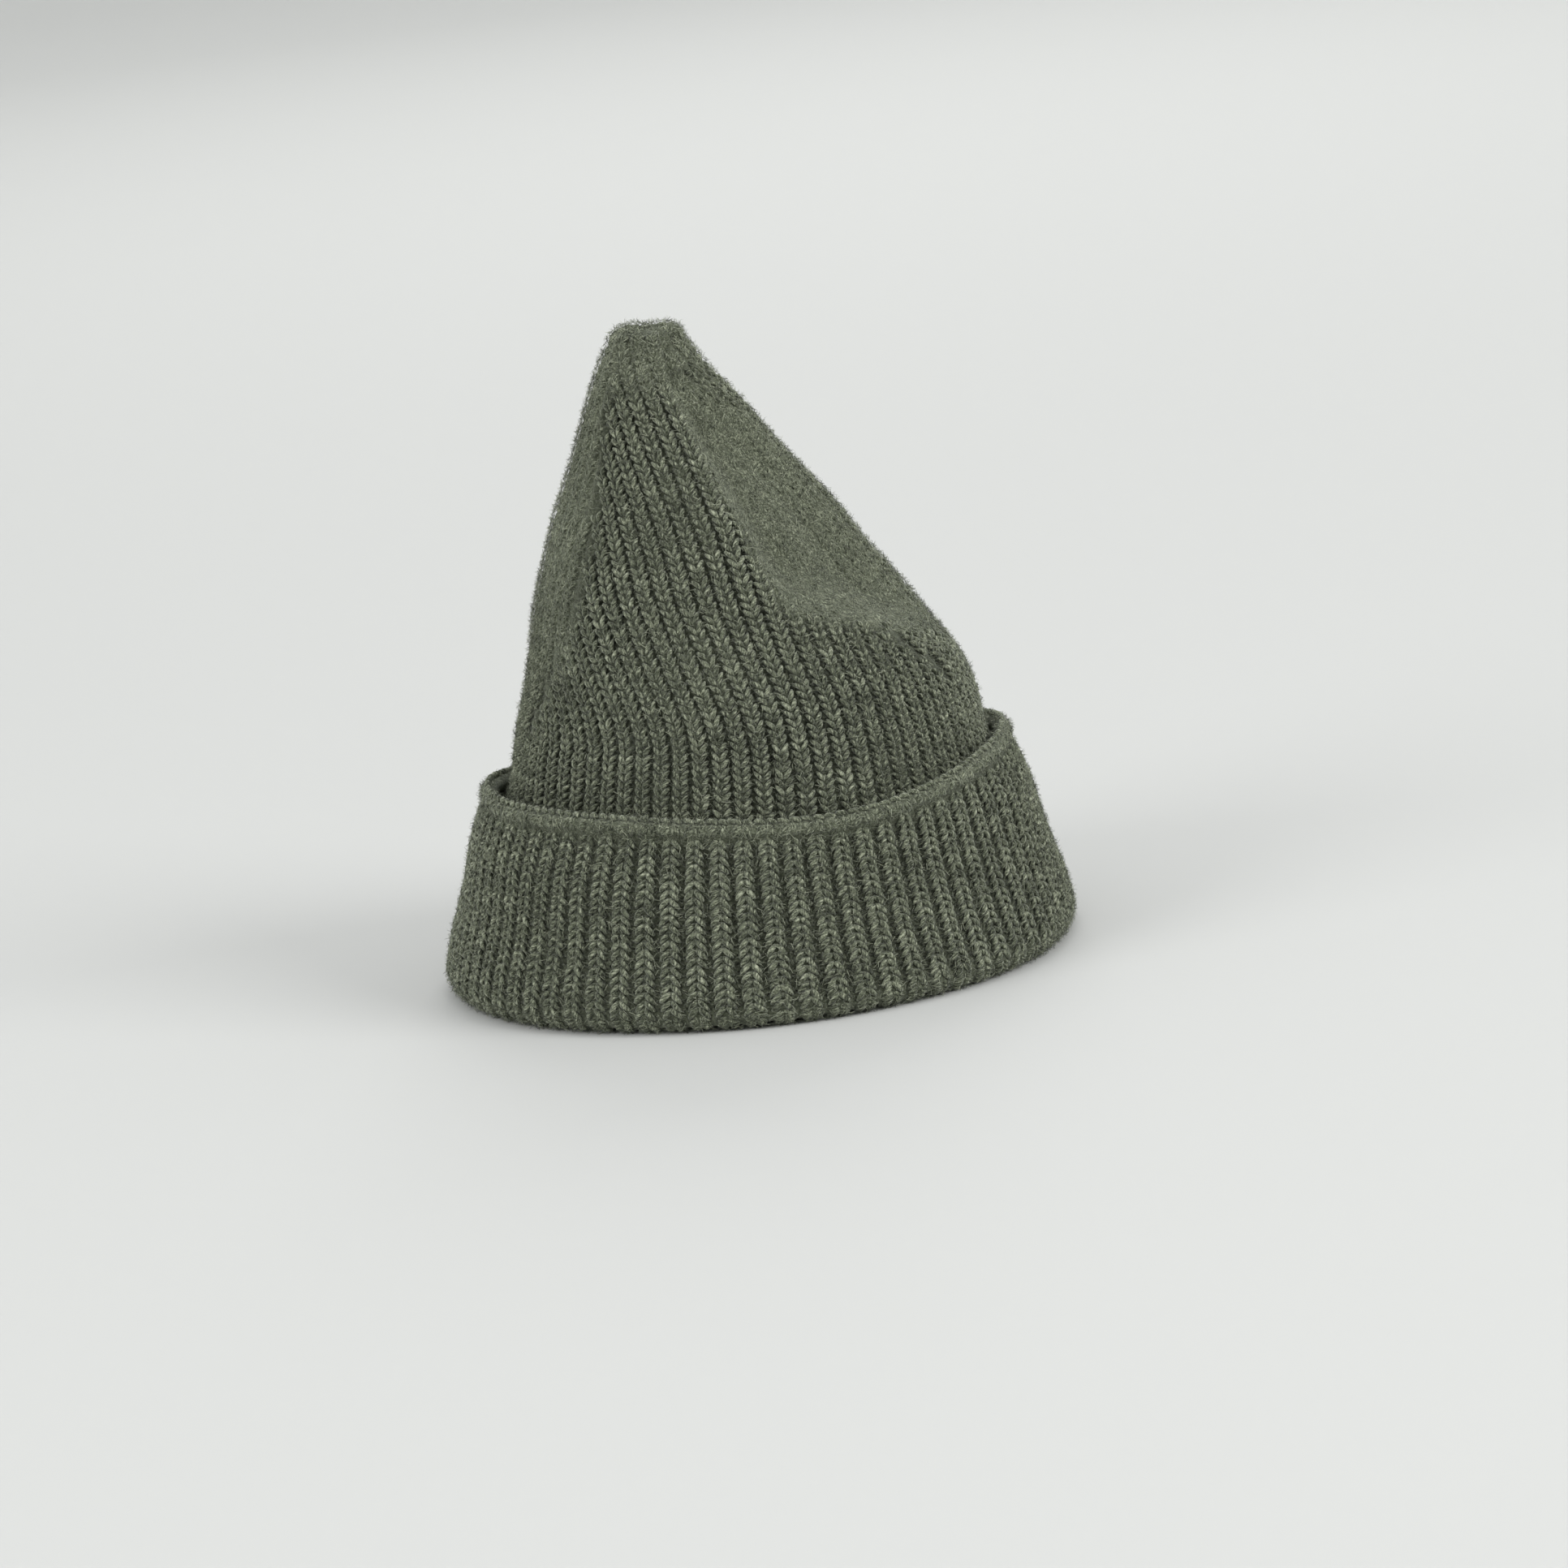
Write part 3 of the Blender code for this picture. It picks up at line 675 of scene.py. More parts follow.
def fabric_paint(name, shade):
    """The ground behind the stitches: painted shade darkens the wool in the grooves and on the inner faces,
    matted nap where the knit is felted.
    """
    paint = Paint(name, 0.97, sheen=0.30, sheen_tint=SHEEN_TINT, specular=0.1)
    place = paint.add("ShaderNodeTexCoord").outputs["Object"]
    felted = paint.add("ShaderNodeAttribute", attribute_name="felted").outputs["Fac"]
    swirl = paint.add("ShaderNodeTexNoise", {"Vector": place, "Scale": 260.0}).outputs["Color"]
    push = paint.add("ShaderNodeVectorMath", {0: swirl, 3: 0.004}, operation="SCALE").outputs[0]
    bent = paint.add("ShaderNodeVectorMath", {0: place, 1: push}, operation="ADD").outputs[0]
    matted = paint.noise(bent, 1500.0, 3.0, 0.7)
    flecks = paint.noise(place, 1100.0, 3.0, 0.65)
    # painted shade: where the knit is not felted (grooves, purl bars, inner faces), the ground takes these
    # heather tints darkened by shade, standing in for the shadow there
    dark = paint.ramp(flecks, [(0.35, scaled(HEATHER[0], shade)), (0.55, scaled(HEATHER[1], shade)),
                               (0.70, scaled(HEATHER[2], shade))])
    light = paint.ramp(matted, [(0.32, scaled(HEATHER[0], 1.2)), (0.44, HEATHER[1]), (0.56, HEATHER[2]),
                                (0.68, HEATHER[3])])
    return paint.finish(paint.mix(felted, dark, light), matted, 0.45 * MM, 0.8)


def fibre_paint(name, shade):
    """Loose fibres, each of one tint from dark to pale."""
    paint = Paint(name, 0.8, sheen=0.35, sheen_tint=SHEEN_TINT, specular=0.2)
    tint = paint.add("ShaderNodeAttribute", attribute_name="tint").outputs["Fac"]
    place = paint.add("ShaderNodeTexCoord").outputs["Object"]
    along = paint.noise(place, 500.0, 1.0)
    value = paint.maths("ADD", paint.maths("MULTIPLY", tint, 0.75), paint.maths("MULTIPLY", along, 0.25))
    colour = paint.ramp(value, [(0.15, scaled(HEATHER[0], shade)), (0.42, scaled(HEATHER[1], shade)),
                                (0.62, scaled(HEATHER[2], shade)), (0.80, scaled(HEATHER[3], shade))])
    return paint.finish(colour)


def label_paint():
    """Blank off-white satin tape with a fine weave."""
    paint = Paint("label_cloth", 0.55, sheen=0.3, specular=0.35)
    place = paint.add("ShaderNodeUVMap", uv_map="yarn").outputs[0]
    warp = paint.add("ShaderNodeTexWave", {"Vector": place, "Scale": 34.0}, bands_direction="X")
    weft = paint.add("ShaderNodeTexWave", {"Vector": place, "Scale": 52.0}, bands_direction="Y")
    weave = paint.maths("MULTIPLY", warp.outputs["Fac"], weft.outputs["Fac"])
    specks = paint.noise(paint.add("ShaderNodeTexCoord").outputs["Object"], 700.0, 3.0)
    value = paint.maths("ADD", paint.maths("MULTIPLY", weave, 0.6), paint.maths("MULTIPLY", specks, 0.4))
    colour = paint.ramp(value, [(0.15, (0.52, 0.51, 0.47)), (0.60, (0.74, 0.73, 0.69))])
    return paint.finish(colour, weave, 0.08 * MM, 0.5)


def thread_paint():
    """Smooth twisted sewing thread."""
    paint = Paint("label_thread", 0.5, sheen=0.2, specular=0.4)
    parts = paint.add("ShaderNodeSeparateXYZ", {0: paint.add("ShaderNodeUVMap", uv_map="yarn").outputs[0]})
    twist = paint.maths("ADD", paint.maths("MULTIPLY", parts.outputs[0], 3.0),
                        paint.maths("MULTIPLY", parts.outputs[1], 5.0))
    strands = paint.maths("FRACT", twist)
    colour = paint.ramp(strands, [(0.05, (0.14, 0.15, 0.13)), (0.5, (0.34, 0.35, 0.31)),
                                  (0.95, (0.20, 0.21, 0.18))])
    return paint.finish(colour, strands, 0.06 * MM, 0.6)


# ---- the shapes that repeat ----
def leg_line(side):
    """Centre line of one leg of a knit stitch: out of the stitch below, up and outwards, then in behind."""
    line = []
    for t in np.linspace(0.0, 1.0, 6):
        x = side * (0.22 + 1.95 * t) * MM
        y = (-1.10 + 3.05 * t) * MM
        z = (-0.95 + 1.35 * math.sin(math.pi * (0.12 + 0.80 * t))) * MM
        line.append((x, y, z))
    return line


def knit_stitch(sides):
    radii = [YARN * share for share in (0.75, 1.04, 1.10, 1.06, 0.92, 0.50)]
    return template_object("knit_stitch", [tube_template(leg_line(side), radii, sides) for side in (-1, 1)])


def purl_bar():
    """The bump of a purl stitch, across a groove."""
    line = [((-1.7 + 3.4 * t) * MM, 0.35 * math.sin(math.pi * t) * MM,
             (-0.5 + 0.6 * math.sin(math.pi * t)) * MM) for t in np.linspace(0, 1, 4)]
    radii = [YARN * share for share in (0.75, 1.05, 1.05, 0.75)]
    return template_object("purl_bar", [tube_template(line, radii, 4)])


def edge_loop():
    """One loop of the cast-on edge, lying across it."""
    line = [((-1.5 + 3.0 * t) * MM, (0.6 - 1.2 * t) * MM, 0.75 * math.sin(math.pi * t) * MM)
            for t in np.linspace(0, 1, 6)]
    radii = [YARN * share for share in (0.6, 1.0, 1.2, 1.2, 1.0, 0.6)]
    return template_object("edge_loop", [tube_template(line, radii, 6)])


def hair(name, length, radius, curl, steps):
    """A curved hair that rises along Z and bends over."""
    line = [(curl * length * math.sin(2.2 * t), 0.30 * curl * length * math.sin(3.5 * t),
             length * math.sin(1.3 * t) / 1.3) for t in np.linspace(0, 1, steps)]
    return template_object(name, [hair_template(line, radius)])


# ---- sites of the stitches ----
def crown_levels():
    level, levels = WALL_BOTTOM + 1 * MM, []
    while level < SHOULDER + DOME_ARC * 0.80:
        levels.append(level)
        level += COURSE * (LEVEL_SHARE if level < SHOULDER else 0.95)
    return levels


def crown_sites(gore, groove=False):
    """Stitch sites of one gore, on its ribs or in the grooves between them: points, axes and sizes."""
    spare = RIBS_IN_GORE // 2
    first = -spare + (0.0 if groove else 0.5)
    ribs, levels = np.meshgrid(first + np.arange(RIBS_IN_GORE + 2 * spare), crown_levels())
    angles = crown_rib_angle(gore, ribs, levels)
    full = ribs_in_gore(levels) > RIBS_IN_GORE - 0.01
    margin = np.where(full, 0.0, 0.35 * GORE_SPAN / ribs_in_gore(levels))
    kept = (angles > gore_line(gore, levels) + margin) & (angles < gore_line(gore + 1, levels) - margin)
    kept &= (levels < SHOULDER + DOME_ARC * 0.5) | (np.floor(ribs) % 2 == 0)
    rib, level = ribs[kept], levels[kept]
    angle = crown_rib_angle(gore, rib, level)
    ahead = crown_surface(crown_rib_angle(gore, rib, level + MM), level + MM)
    behind = crown_surface(crown_rib_angle(gore, rib, level - MM), level - MM)
    near = crown_surface(angle + 0.5, level) - crown_surface(angle - 0.5, level)
    pitch = np.linalg.norm(near, axis=-1) * GORE_SPAN / ribs_in_gore(level)
    width = np.clip(pitch / CROWN_PITCH, 0.55, 1.15)
    height = np.linalg.norm(ahead - behind, axis=-1) / (2 * MM) * LEVEL_SHARE
    sunk = 0.75 * MM * felting(angle, level) * (0.3 if groove else 1.0)
    return (crown_surface(angle, level), outward(crown_surface, angle, level), ahead - behind,
            width, np.clip(height, 0.8, 1.2), sunk)


def folded_ways(start, end):
    """Rows of stitches along the folded band, closer together round the fold."""
    way, ways, shares = start, [], []
    while way < end:
        share = 0.52 if abs(way - FOLD_WAY) < 8.5 * MM else 1.0
        ways.append(way)
        shares.append(share)
        way += COURSE * share
    return ways, shares


def folded_sites(quarter, start, end, groove=False):
    """Stitch sites on a quarter of the folded band."""
    ribs = np.arange(quarter * RIBS_IN_GORE, (quarter + 1) * RIBS_IN_GORE) + (0.0 if groove else 0.5)
    ways, shares = folded_ways(start, end)
    rib, way = (a.ravel() for a in np.meshgrid(ribs, ways))
    height = np.repeat(shares, len(ribs))
    angle = GORE_LINE + 360.0 / RIBS * rib
    direction = folded_surface(angle, way + MM) - folded_surface(angle, way - MM)
    near = folded_surface(angle + 0.5, way) - folded_surface(angle - 0.5, way)
    width = np.linalg.norm(near, axis=-1) * 360.0 / RIBS / CROWN_PITCH
    fading = np.clip((CUFF_START + 4 * MM - way) / (CUFF_START + 4 * MM - EDGE_FADE), 0, 1)
    sunk = np.where(height < 1.0, 0.25 * MM, 0.0) + 0.65 * MM * fading ** 1.5
    out = outward(folded_surface, angle, way, -1.0)
    return folded_surface(angle, way), out, direction, width, height, sunk


def line_sites(surface, angle, levels, inset, width, side=1.0, facing=1.0):
    """Sites along a line of a surface, a depth inside the side that it shows, facing out or in."""
    angle, level = np.broadcast_arrays(np.asarray(angle, float), np.asarray(levels, float))
    out = outward(surface, angle, level, side)
    direction = surface(angle, level + MM) - surface(angle, level - MM)
    size = np.full(level.shape, width)
    return surface(angle, level) - out * inset, out * facing, direction, size, size, np.zeros(level.shape)


class Knitter:
    """Sets stitches on sites, through one node tree."""

    def __init__(self):
        self.tree = stitch_tree()
        self.seed = 10

    def knit(self, name, found, template, material, inset, widen=1.0, unevenness=0.06, depth=1.0):
        point, out, direction, width, height, sunk = found
        place = point - out * (inset + sunk)[..., None]
        fit = np.stack([width * widen, height, np.full_like(width, depth)], -1)
        sites = sites_object(name + "_sites", place, out, unit(direction), fit)
        self.seed += 1
        mesh = self.tree.apply(sites, {"Stitch": template, "Unevenness": unevenness, "Seed": self.seed,
                                       "Material": material})
        bpy.data.objects.remove(sites)
        return mesh


# ---- the fabric behind the stitches ----
COLUMNS = RIBS * 4


def add_point_values(mesh, name, values):
    layer = mesh.attributes.new(name, "FLOAT", "POINT")
    layer.data.foreach_set("value", np.asarray(values, np.float32).ravel())


def capped_shell(name, outer, inner, outer_pole, inner_pole):
    """Closed shell from an outer and an inner dome that share their lower rim."""
    rows, columns, _ = outer.shape
    inner_rows = len(inner)
    points = np.concatenate([outer.reshape(-1, 3), inner.reshape(-1, 3), [outer_pole, inner_pole]])
    outer_index = np.arange(rows * columns).reshape(rows, columns)
    inner_index = rows * columns + np.arange(inner_rows * columns).reshape(inner_rows, columns)
    faces = []

    def strip(low, high):
        faces.append(np.stack([low, np.roll(low, -1), np.roll(high, -1), high], -1))
    for k in range(rows - 1):
        strip(outer_index[k], outer_index[k + 1])
    strip(inner_index[0], outer_index[0])
    for k in range(inner_rows - 1):
        strip(inner_index[k + 1], inner_index[k])
    faces = np.concatenate(faces).tolist()
    top, under = len(points) - 2, len(points) - 1
    for k in range(columns):
        after = (k + 1) % columns
        faces.append((int(outer_index[-1][k]), int(outer_index[-1][after]), top))
        faces.append((int(inner_index[-1][after]), int(inner_index[-1][k]), under))
    mesh = bpy.data.meshes.new(name)
    mesh.from_pydata(points.tolist(), [], faces)
    return turn_outward(mesh)


def build_crown_fabric(material):
    angles = GORE_LINE + 360.0 * (np.arange(COLUMNS) + 0.5) / COLUMNS
    levels = np.concatenate([np.arange(WALL_BOTTOM, SHOULDER, 2.2 * MM),
                             SHOULDER + DOME_ARC * np.linspace(0.0, 0.95, 7)])
    angle, level = np.meshgrid(angles, levels)
    outside, out = crown_surface(angle, level), outward(crown_surface, angle, level)
    rib, felted = crest(crown_rib_phase(angle, level)), felting(angle, level)
    depth = (2.35 - 1.25 * rib) * (1 - felted) + (1.25 - 0.35 * rib) * felted
    outer = outside - out * (depth * MM)[..., None]
    with_inside = levels < SHOULDER - 3 * MM
    inner = (outside - out * (FABRIC + 0.8 * MM * rib)[..., None])[with_inside]
    centre = float(smooth_rows(CROWN_ROWS, SHOULDER)[0])
    mesh = capped_shell("crown_fabric", outer, inner, (centre, 0.0, TIP_TOP - PINCH_DEPTH - 1.7 * MM),
                        (centre, 0.0, SHOULDER - 2.0 * MM))
    # the inner faces get 0, so they take the ground's painted shade
    values = np.concatenate([felted.ravel(), felted[with_inside].ravel() * 0, [0.7, 0.0]])
    add_point_values(mesh, "felted", values)
    return make_piece("crown_fabric", mesh, material)


def build_folded_fabric(material):
    """Closed shell of the folded band: cuff, fold and inner band in one piece of fabric."""
    angles = GORE_LINE + 360.0 * (np.arange(COLUMNS) + 0.5) / COLUMNS
    ways = np.concatenate([np.linspace(0, 8 * MM, 6)[:-1], np.linspace(8 * MM, FOLD_WAY - 9 * MM, 18)[:-1],
                           np.linspace(FOLD_WAY - 9 * MM, FOLD_WAY + 9 * MM, 16)[:-1],
                           np.linspace(FOLD_WAY + 9 * MM, OUTLINE_LENGTH, 18)])
    angle, way = np.meshgrid(angles, ways)
    outside, out = folded_surface(angle, way), outward(folded_surface, angle, way, -1.0)
    rib = crest((angle - GORE_LINE) / (360.0 / RIBS))
    folding = bump(way - FOLD_WAY, 6 * MM)
    soft = np.maximum(folding, plateau(-way, (-CUFF_START - 5 * MM, -CUFF_START + 3 * MM, 1.0, 2.0)))
    depth = (2.3 - 1.25 * rib) * (1 - soft) + (1.4 - 0.65 * rib) * soft
    outer = outside - out * (depth * MM)[..., None]
    inner = outside - out * (FABRIC - 0.1 * MM)
    points = np.concatenate([outer, inner[::-1]])
    mesh = turn_outward(grid_mesh("folded_fabric", points, True))
    # the outer face is mostly painted shade, with lighter nap where it is soft at the fold and edge; the
    # inner face gets 0 and is all painted shade
    values = np.concatenate([0.15 + 0.45 * soft, np.zeros_like(soft)])
    add_point_values(mesh, "felted", values)
    return make_piece("folded_fabric", mesh, material)


def build_edge_roll(material):
    """The rolled cast-on edge of the cuff, gently lobed by its loops."""
    columns, sides = RIBS * 8, 14
    angle, turn = np.meshgrid(360.0 * np.arange(columns) / columns, 2 * math.pi * np.arange(sides) / sides)
    roll = ROLL - 0.85 * MM + 0.10 * MM * np.sin(np.radians(angle) * RIBS * 2)
    middle = on_cuff(angle, EDGE_RADIUS, np.full(angle.shape, WELT_TOP - ROLL))
    across = np.stack([np.sin(np.radians(angle)), -np.cos(np.radians(angle)), np.zeros_like(angle)], -1)
    points = middle + across * (roll * np.cos(turn))[..., None]
    points[..., 2] += roll * np.sin(turn)
    mesh = turn_outward(grid_mesh("cuff_edge", points, True))
    add_point_values(mesh, "felted", np.full(points.shape[:2], 0.75))
    return make_piece("cuff_edge", mesh, material)


# ---- the nap ----
def nap_mesh(tree, surface, angles, levels, sign, inset, nap, layers):
    """Fibres scattered over a stretch of a surface: layers gives each hair, density, tilts and sizes."""
    angle, level = np.meshgrid(angles, levels)
    points = surface(angle, level) - outward(surface, angle, level, sign) * inset(angle, level)[..., None]
    mesh = bpy.data.meshes.new("nap_ground")
    mesh.from_pydata(points.reshape(-1, 3).tolist(), [], grid_faces(*angle.shape).tolist())
    if sign < 0:
        mesh.flip_normals()
    add_point_values(mesh, "nap", nap(angle, level))
    ground = new_object("nap_ground", mesh)
    found = [tree.apply(ground, dict(values)) for values in layers]
    bpy.data.objects.remove(ground)
    return join_meshes("nap", found)


def nap_layers(hairs, material, seed):
    """Curled fibres lying on the surface in two bends, and short ones that stand out in a halo."""
    layers = []
    for hair_object, density, tilts, sizes in hairs:
        seed += 1
        layers.append({"Fibre": hair_object, "Density": density, "Seed": seed, "Material": material,
                       "Least tilt": tilts[0], "Most tilt": tilts[1],
                       "Least size": sizes[0], "Most size": sizes[1]})
    return layers


# ---- trims ----
def build_label(material):
    """Blank label inside the band, its lower edge curling a little."""
    columns, rows = 15, 19
    width = LABEL_WIDTH / BAND_MIDDLE
    across, up = np.meshgrid(np.linspace(0, 1, columns), np.linspace(0, 1, rows))
    angle = LABEL_START + np.degrees(width) * across
    way = WAY_OF_LABEL - LABEL_HEIGHT * (1 - up)
    out = outward(folded_surface, angle, way, -1.0)
    lift = 1.0 + 1.3 * (1 - up) ** 3 * (0.6 + 0.4 * np.cos(3.0 * across))
    points = folded_surface(angle, way) + out * (lift * MM)[..., None]
    faces = grid_faces(rows, columns)
    mesh = bpy.data.meshes.new("label")
    mesh.from_pydata(points.reshape(-1, 3).tolist(), [], faces.tolist())
    layer = mesh.uv_layers.new(name="yarn")
    where = np.stack([across * 0.78, up], -1).reshape(-1, 2)
    layer.data.foreach_set("uv", where[faces.ravel()].astype(np.float32).ravel())
    plain = new_object("label_plain", mesh)
    plain.modifiers.new("thickness", "SOLIDIFY").thickness = LABEL_THICKNESS
    solid = bpy.data.meshes.new_from_object(plain.evaluated_get(bpy.context.evaluated_depsgraph_get()))
    bpy.data.objects.remove(plain)
    return make_piece("blank_label", turn_outward(solid), material)


def build_label_thread(knitter, material):
    """A run of small sewn stitches along the label's upper edge."""
    dash = template_object("dash", [tube_template(
        [((-1.1 + 2.2 * t) * MM, 0.0, 0.22 * math.sin(math.pi * t) * MM) for t in np.linspace(0, 1, 5)],
        [0.16 * MM, 0.24 * MM, 0.26 * MM, 0.24 * MM, 0.16 * MM], 6)])
    angles = LABEL_START + math.degrees(LABEL_WIDTH / BAND_MIDDLE) * np.linspace(0.08, 0.92, 9)
    found = line_sites(folded_surface, angles, WAY_OF_LABEL - 3 * MM, -1.45 * MM, 1.0, side=-1.0)
    mesh = knitter.knit("thread", found, dash, material, 0.0, unevenness=0.03)
    bpy.data.objects.remove(dash)
    return make_piece("label_stitches", mesh, material)


def build_knot(material):
    """The yarn's overhand knot inside the tip, with its two short ends."""
    low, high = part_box("tip_knot")
    middle = (low + high) / 2
    loop = [(math.sin(t) + 2 * math.sin(2 * t), math.cos(t) - 2 * math.cos(2 * t), -math.sin(3 * t))
            for t in np.linspace(0.35, 2 * math.pi - 0.35, 44)]
    line = [np.array(point) * 0.85 * MM for point in loop]
    first, last = line[0], line[-1]
    line = ([first + np.array([0.8 * MM * k, 0.0, -2.2 * MM * k]) for k in (3, 2, 1)] + line
            + [last + np.array([-0.7 * MM * k, 0.3 * MM * k, -1.9 * MM * k]) for k in (1, 2, 3)])
    radii = [0.35 * MM] + [0.75 * MM] * (len(line) - 2) + [0.35 * MM]
    mesh = closed_tube("knot", [np.array(middle) + point for point in line], radii, TUBE_SIDES)
    return make_piece("yarn_knot", mesh, material)


def build_seams(knitter, stitch, bar, material):
    """Chains of joined edges inside the crown and the band, and the back seam's ladder outside."""
    crown_pieces, fixed = [], []
    for k, side in enumerate(("front_left", "front_right", "back_right", "back_left")):
        angle = GORE_LINE + GORE_SPAN * k
        bottom = WALL_BOTTOM if angle == SEAM_ANGLE else WAIST_LOW
        levels = np.arange(bottom + 1.5 * MM, SHOULDER - 11 * MM, CHAIN_STEP)
        found = line_sites(crown_surface, gore_line(k, levels), levels, SEAM_INSET + 0.5 * MM, 0.85,
                           facing=-1.0)
        mesh = knitter.knit("chain", found, stitch, material, 0.0, depth=1.1)
        chain = make_piece("seam_chain_" + side, mesh, material)
        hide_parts("waist_seam_" + side, "peak_seam_" + side)
        if angle == SEAM_ANGLE:
            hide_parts("crown_seam")
        crown_pieces.append(chain)

    band_ways = np.arange(OUTSIDE_END, OUTLINE_LENGTH - 2 * MM, CHAIN_STEP)
    cuff_ways = np.arange(CUFF_START + 2 * MM, FOLD_WAY - 17 * MM, CHAIN_STEP)
    for name, ways, inset, width, facing in (("band_seam", band_ways, -0.3 * MM, 0.85, 1.0),
                                             ("cuff_seam", cuff_ways, SEAM_INSET, 0.5, -1.0)):
        found = line_sites(folded_surface, SEAM_ANGLE, ways, inset, width, side=-1.0, facing=facing)
        chain = make_piece(name + "_chain", knitter.knit("chain", found, stitch, material, 0.0), material)
        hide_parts(name)
        fixed.append(chain)

    levels = np.arange(WALL_BOTTOM, SHOULDER, LADDER_STEP)
    found = line_sites(crown_surface, SEAM_ANGLE, levels, 1.0 * MM, 0.62)
    mesh = knitter.knit("ladder", found, bar, material, 0.0)
    crown_pieces.append(make_piece("back_ladder_crown", mesh, material))
    ways = np.arange(CUFF_START, OUTSIDE_END, LADDER_STEP)
    found = line_sites(folded_surface, SEAM_ANGLE, ways, 1.0 * MM, 0.75, side=-1.0)
    mesh = knitter.knit("ladder", found, bar, material, 0.0)
    fixed.append(make_piece("back_ladder_cuff", mesh, material))
    return crown_pieces, fixed


# ---- stage, light and camera ----
VIEW_DOWN = 12.2                # degrees that the camera looks down
ROLL_ANGLE = 6.5                # degrees that the hat leans in the view
DISTANCE = 2.3
LENS = 176.7
RIM_OFFSET = (-6.3 * MM, -46.5 * MM)


def build_camera():
    data = bpy.data.cameras.new("camera")
    data.lens = LENS
    data.sensor_width = 36.0
    camera = new_object("camera", data)
    down, roll = math.radians(VIEW_DOWN), math.radians(ROLL_ANGLE)
    forward = Vector((0.0, math.cos(down), -math.sin(down)))
    upright = Vector((0.0, math.sin(down), math.cos(down)))
    right = Vector((1, 0, 0)) * math.cos(roll) - upright * math.sin(roll)
    up = Vector((1, 0, 0)) * math.sin(roll) + upright * math.cos(roll)
    rim = Vector((0.0, 0.0, 4 * MM))
    place = rim - DISTANCE * forward - RIM_OFFSET[0] * right - RIM_OFFSET[1] * up
    camera.matrix_world = Matrix((
        (right.x, up.x, -forward.x, place.x), (right.y, up.y, -forward.y, place.y),
        (right.z, up.z, -forward.z, place.z), (0, 0, 0, 1)))
    bpy.context.scene.camera = camera


def build_stage():
    """A pale floor that sweeps up into a seamless wall all round."""
    flat, bend, top, columns = 2.6, 1.6, 3.4, 96
    rows = [(flat, 0.0)]
    for turn in np.linspace(0, math.pi / 2, 14)[1:]:
        rows.append((flat + bend * math.sin(turn), bend * (1 - math.cos(turn))))
    rows.append((flat + bend, top))
    verts = [(r * math.sin(2 * math.pi * c / columns), r * math.cos(2 * math.pi * c / columns), z)
             for r, z in rows for c in range(columns)]
    faces = [tuple(reversed(range(columns)))]
    for k in range(len(rows) - 1):
        for c in range(columns):
            after = (c + 1) % columns
            low, high = k * columns, (k + 1) * columns
            faces.append((low + c, low + after, high + after, high + c))
    mesh = bpy.data.meshes.new("floor")
    mesh.from_pydata(verts, [], faces)
    paint = Paint("pale_floor", 0.8, specular=0.15)
    paint.shader.inputs["Base Color"].default_value = (0.600, 0.605, 0.590, 1.0)
    floor = make_piece("floor", mesh, paint.material)
    floor.location.z = -0.2 * MM


def area_light(name, place, target, size, power, colour=(1, 1, 1)):
    data = bpy.data.lights.new(name, "AREA")
    data.shape = "DISK"
    data.size = size
    data.energy = power
    data.color = colour
    light = new_object(name, data)
    light.location = place
    light.rotation_euler = (Vector(target) - Vector(place)).to_track_quat("-Z", "Y").to_euler()


def build_lights():
    world = bpy.data.worlds.new("studio")
    world.use_nodes = True
    world.node_tree.nodes["Background"].inputs[0].default_value = (0.97, 0.985, 1.0, 1.0)
    world.node_tree.nodes["Background"].inputs[1].default_value = 0.85
    bpy.context.scene.world = world
    target = (0.0, 0.0, 0.10)
    area_light("right_light", (1.9, -1.2, 1.5), target, 1.6, 38.0)
    area_light("left_light", (-1.9, -1.2, 1.2), target, 1.6, 24.0)
    area_light("back_light", (0.2, 2.2, 1.6), target, 1.6, 20.0)


# ---- building the hat ----
def build_crown(knitter, scatter, stitch, bar, hairs, paints):
    crown = build_crown_fabric(paints["ground"])
    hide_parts("crown_base", "crown_wall", "crown_waist", "peak_tip",
                "gore_front", "gore_right", "gore_back", "gore_left")
    pieces = []

    def inset(angle, level):
        return (0.15 + 0.8 * (1 - crest(crown_rib_phase(angle, level))) * (1 - felting(angle, level))) * MM

    def nap(angle, level):
        return 0.70 + 0.50 * felting(angle, level)
    for gore, side in enumerate(("front", "right", "back", "left")):
        mesh = knitter.knit("ribs", crown_sites(gore), stitch, paints["yarn"], 1.05 * MM, widen=1.02,
                            unevenness=0.10)
        pieces.append(make_piece("crown_ribs_" + side, mesh, paints["yarn"]))
        # painted shade: the purl bars in the grooves carry no felting, so the ground paint darkens them all
        mesh = knitter.knit("grooves", crown_sites(gore, groove=True), bar, paints["ground"], 2.1 * MM)
        pieces.append(make_piece("crown_grooves_" + side, mesh, paints["ground"]))
        angles = GORE_LINE + GORE_SPAN * (gore + np.linspace(0, 1, RIBS_IN_GORE * 4 + 1))
        levels = np.concatenate([np.linspace(WALL_BOTTOM, SHOULDER, 56)[:-1],
                                 SHOULDER + DOME_ARC * np.linspace(0, 0.97, 7)])
        mesh = nap_mesh(scatter, crown_surface, angles, levels, 1.0, inset, nap,
                        nap_layers(hairs, paints["fibres"], 100 + 10 * gore))
        pieces.append(make_piece("crown_nap_" + side, mesh, paints["fibres"]))
    return crown, pieces


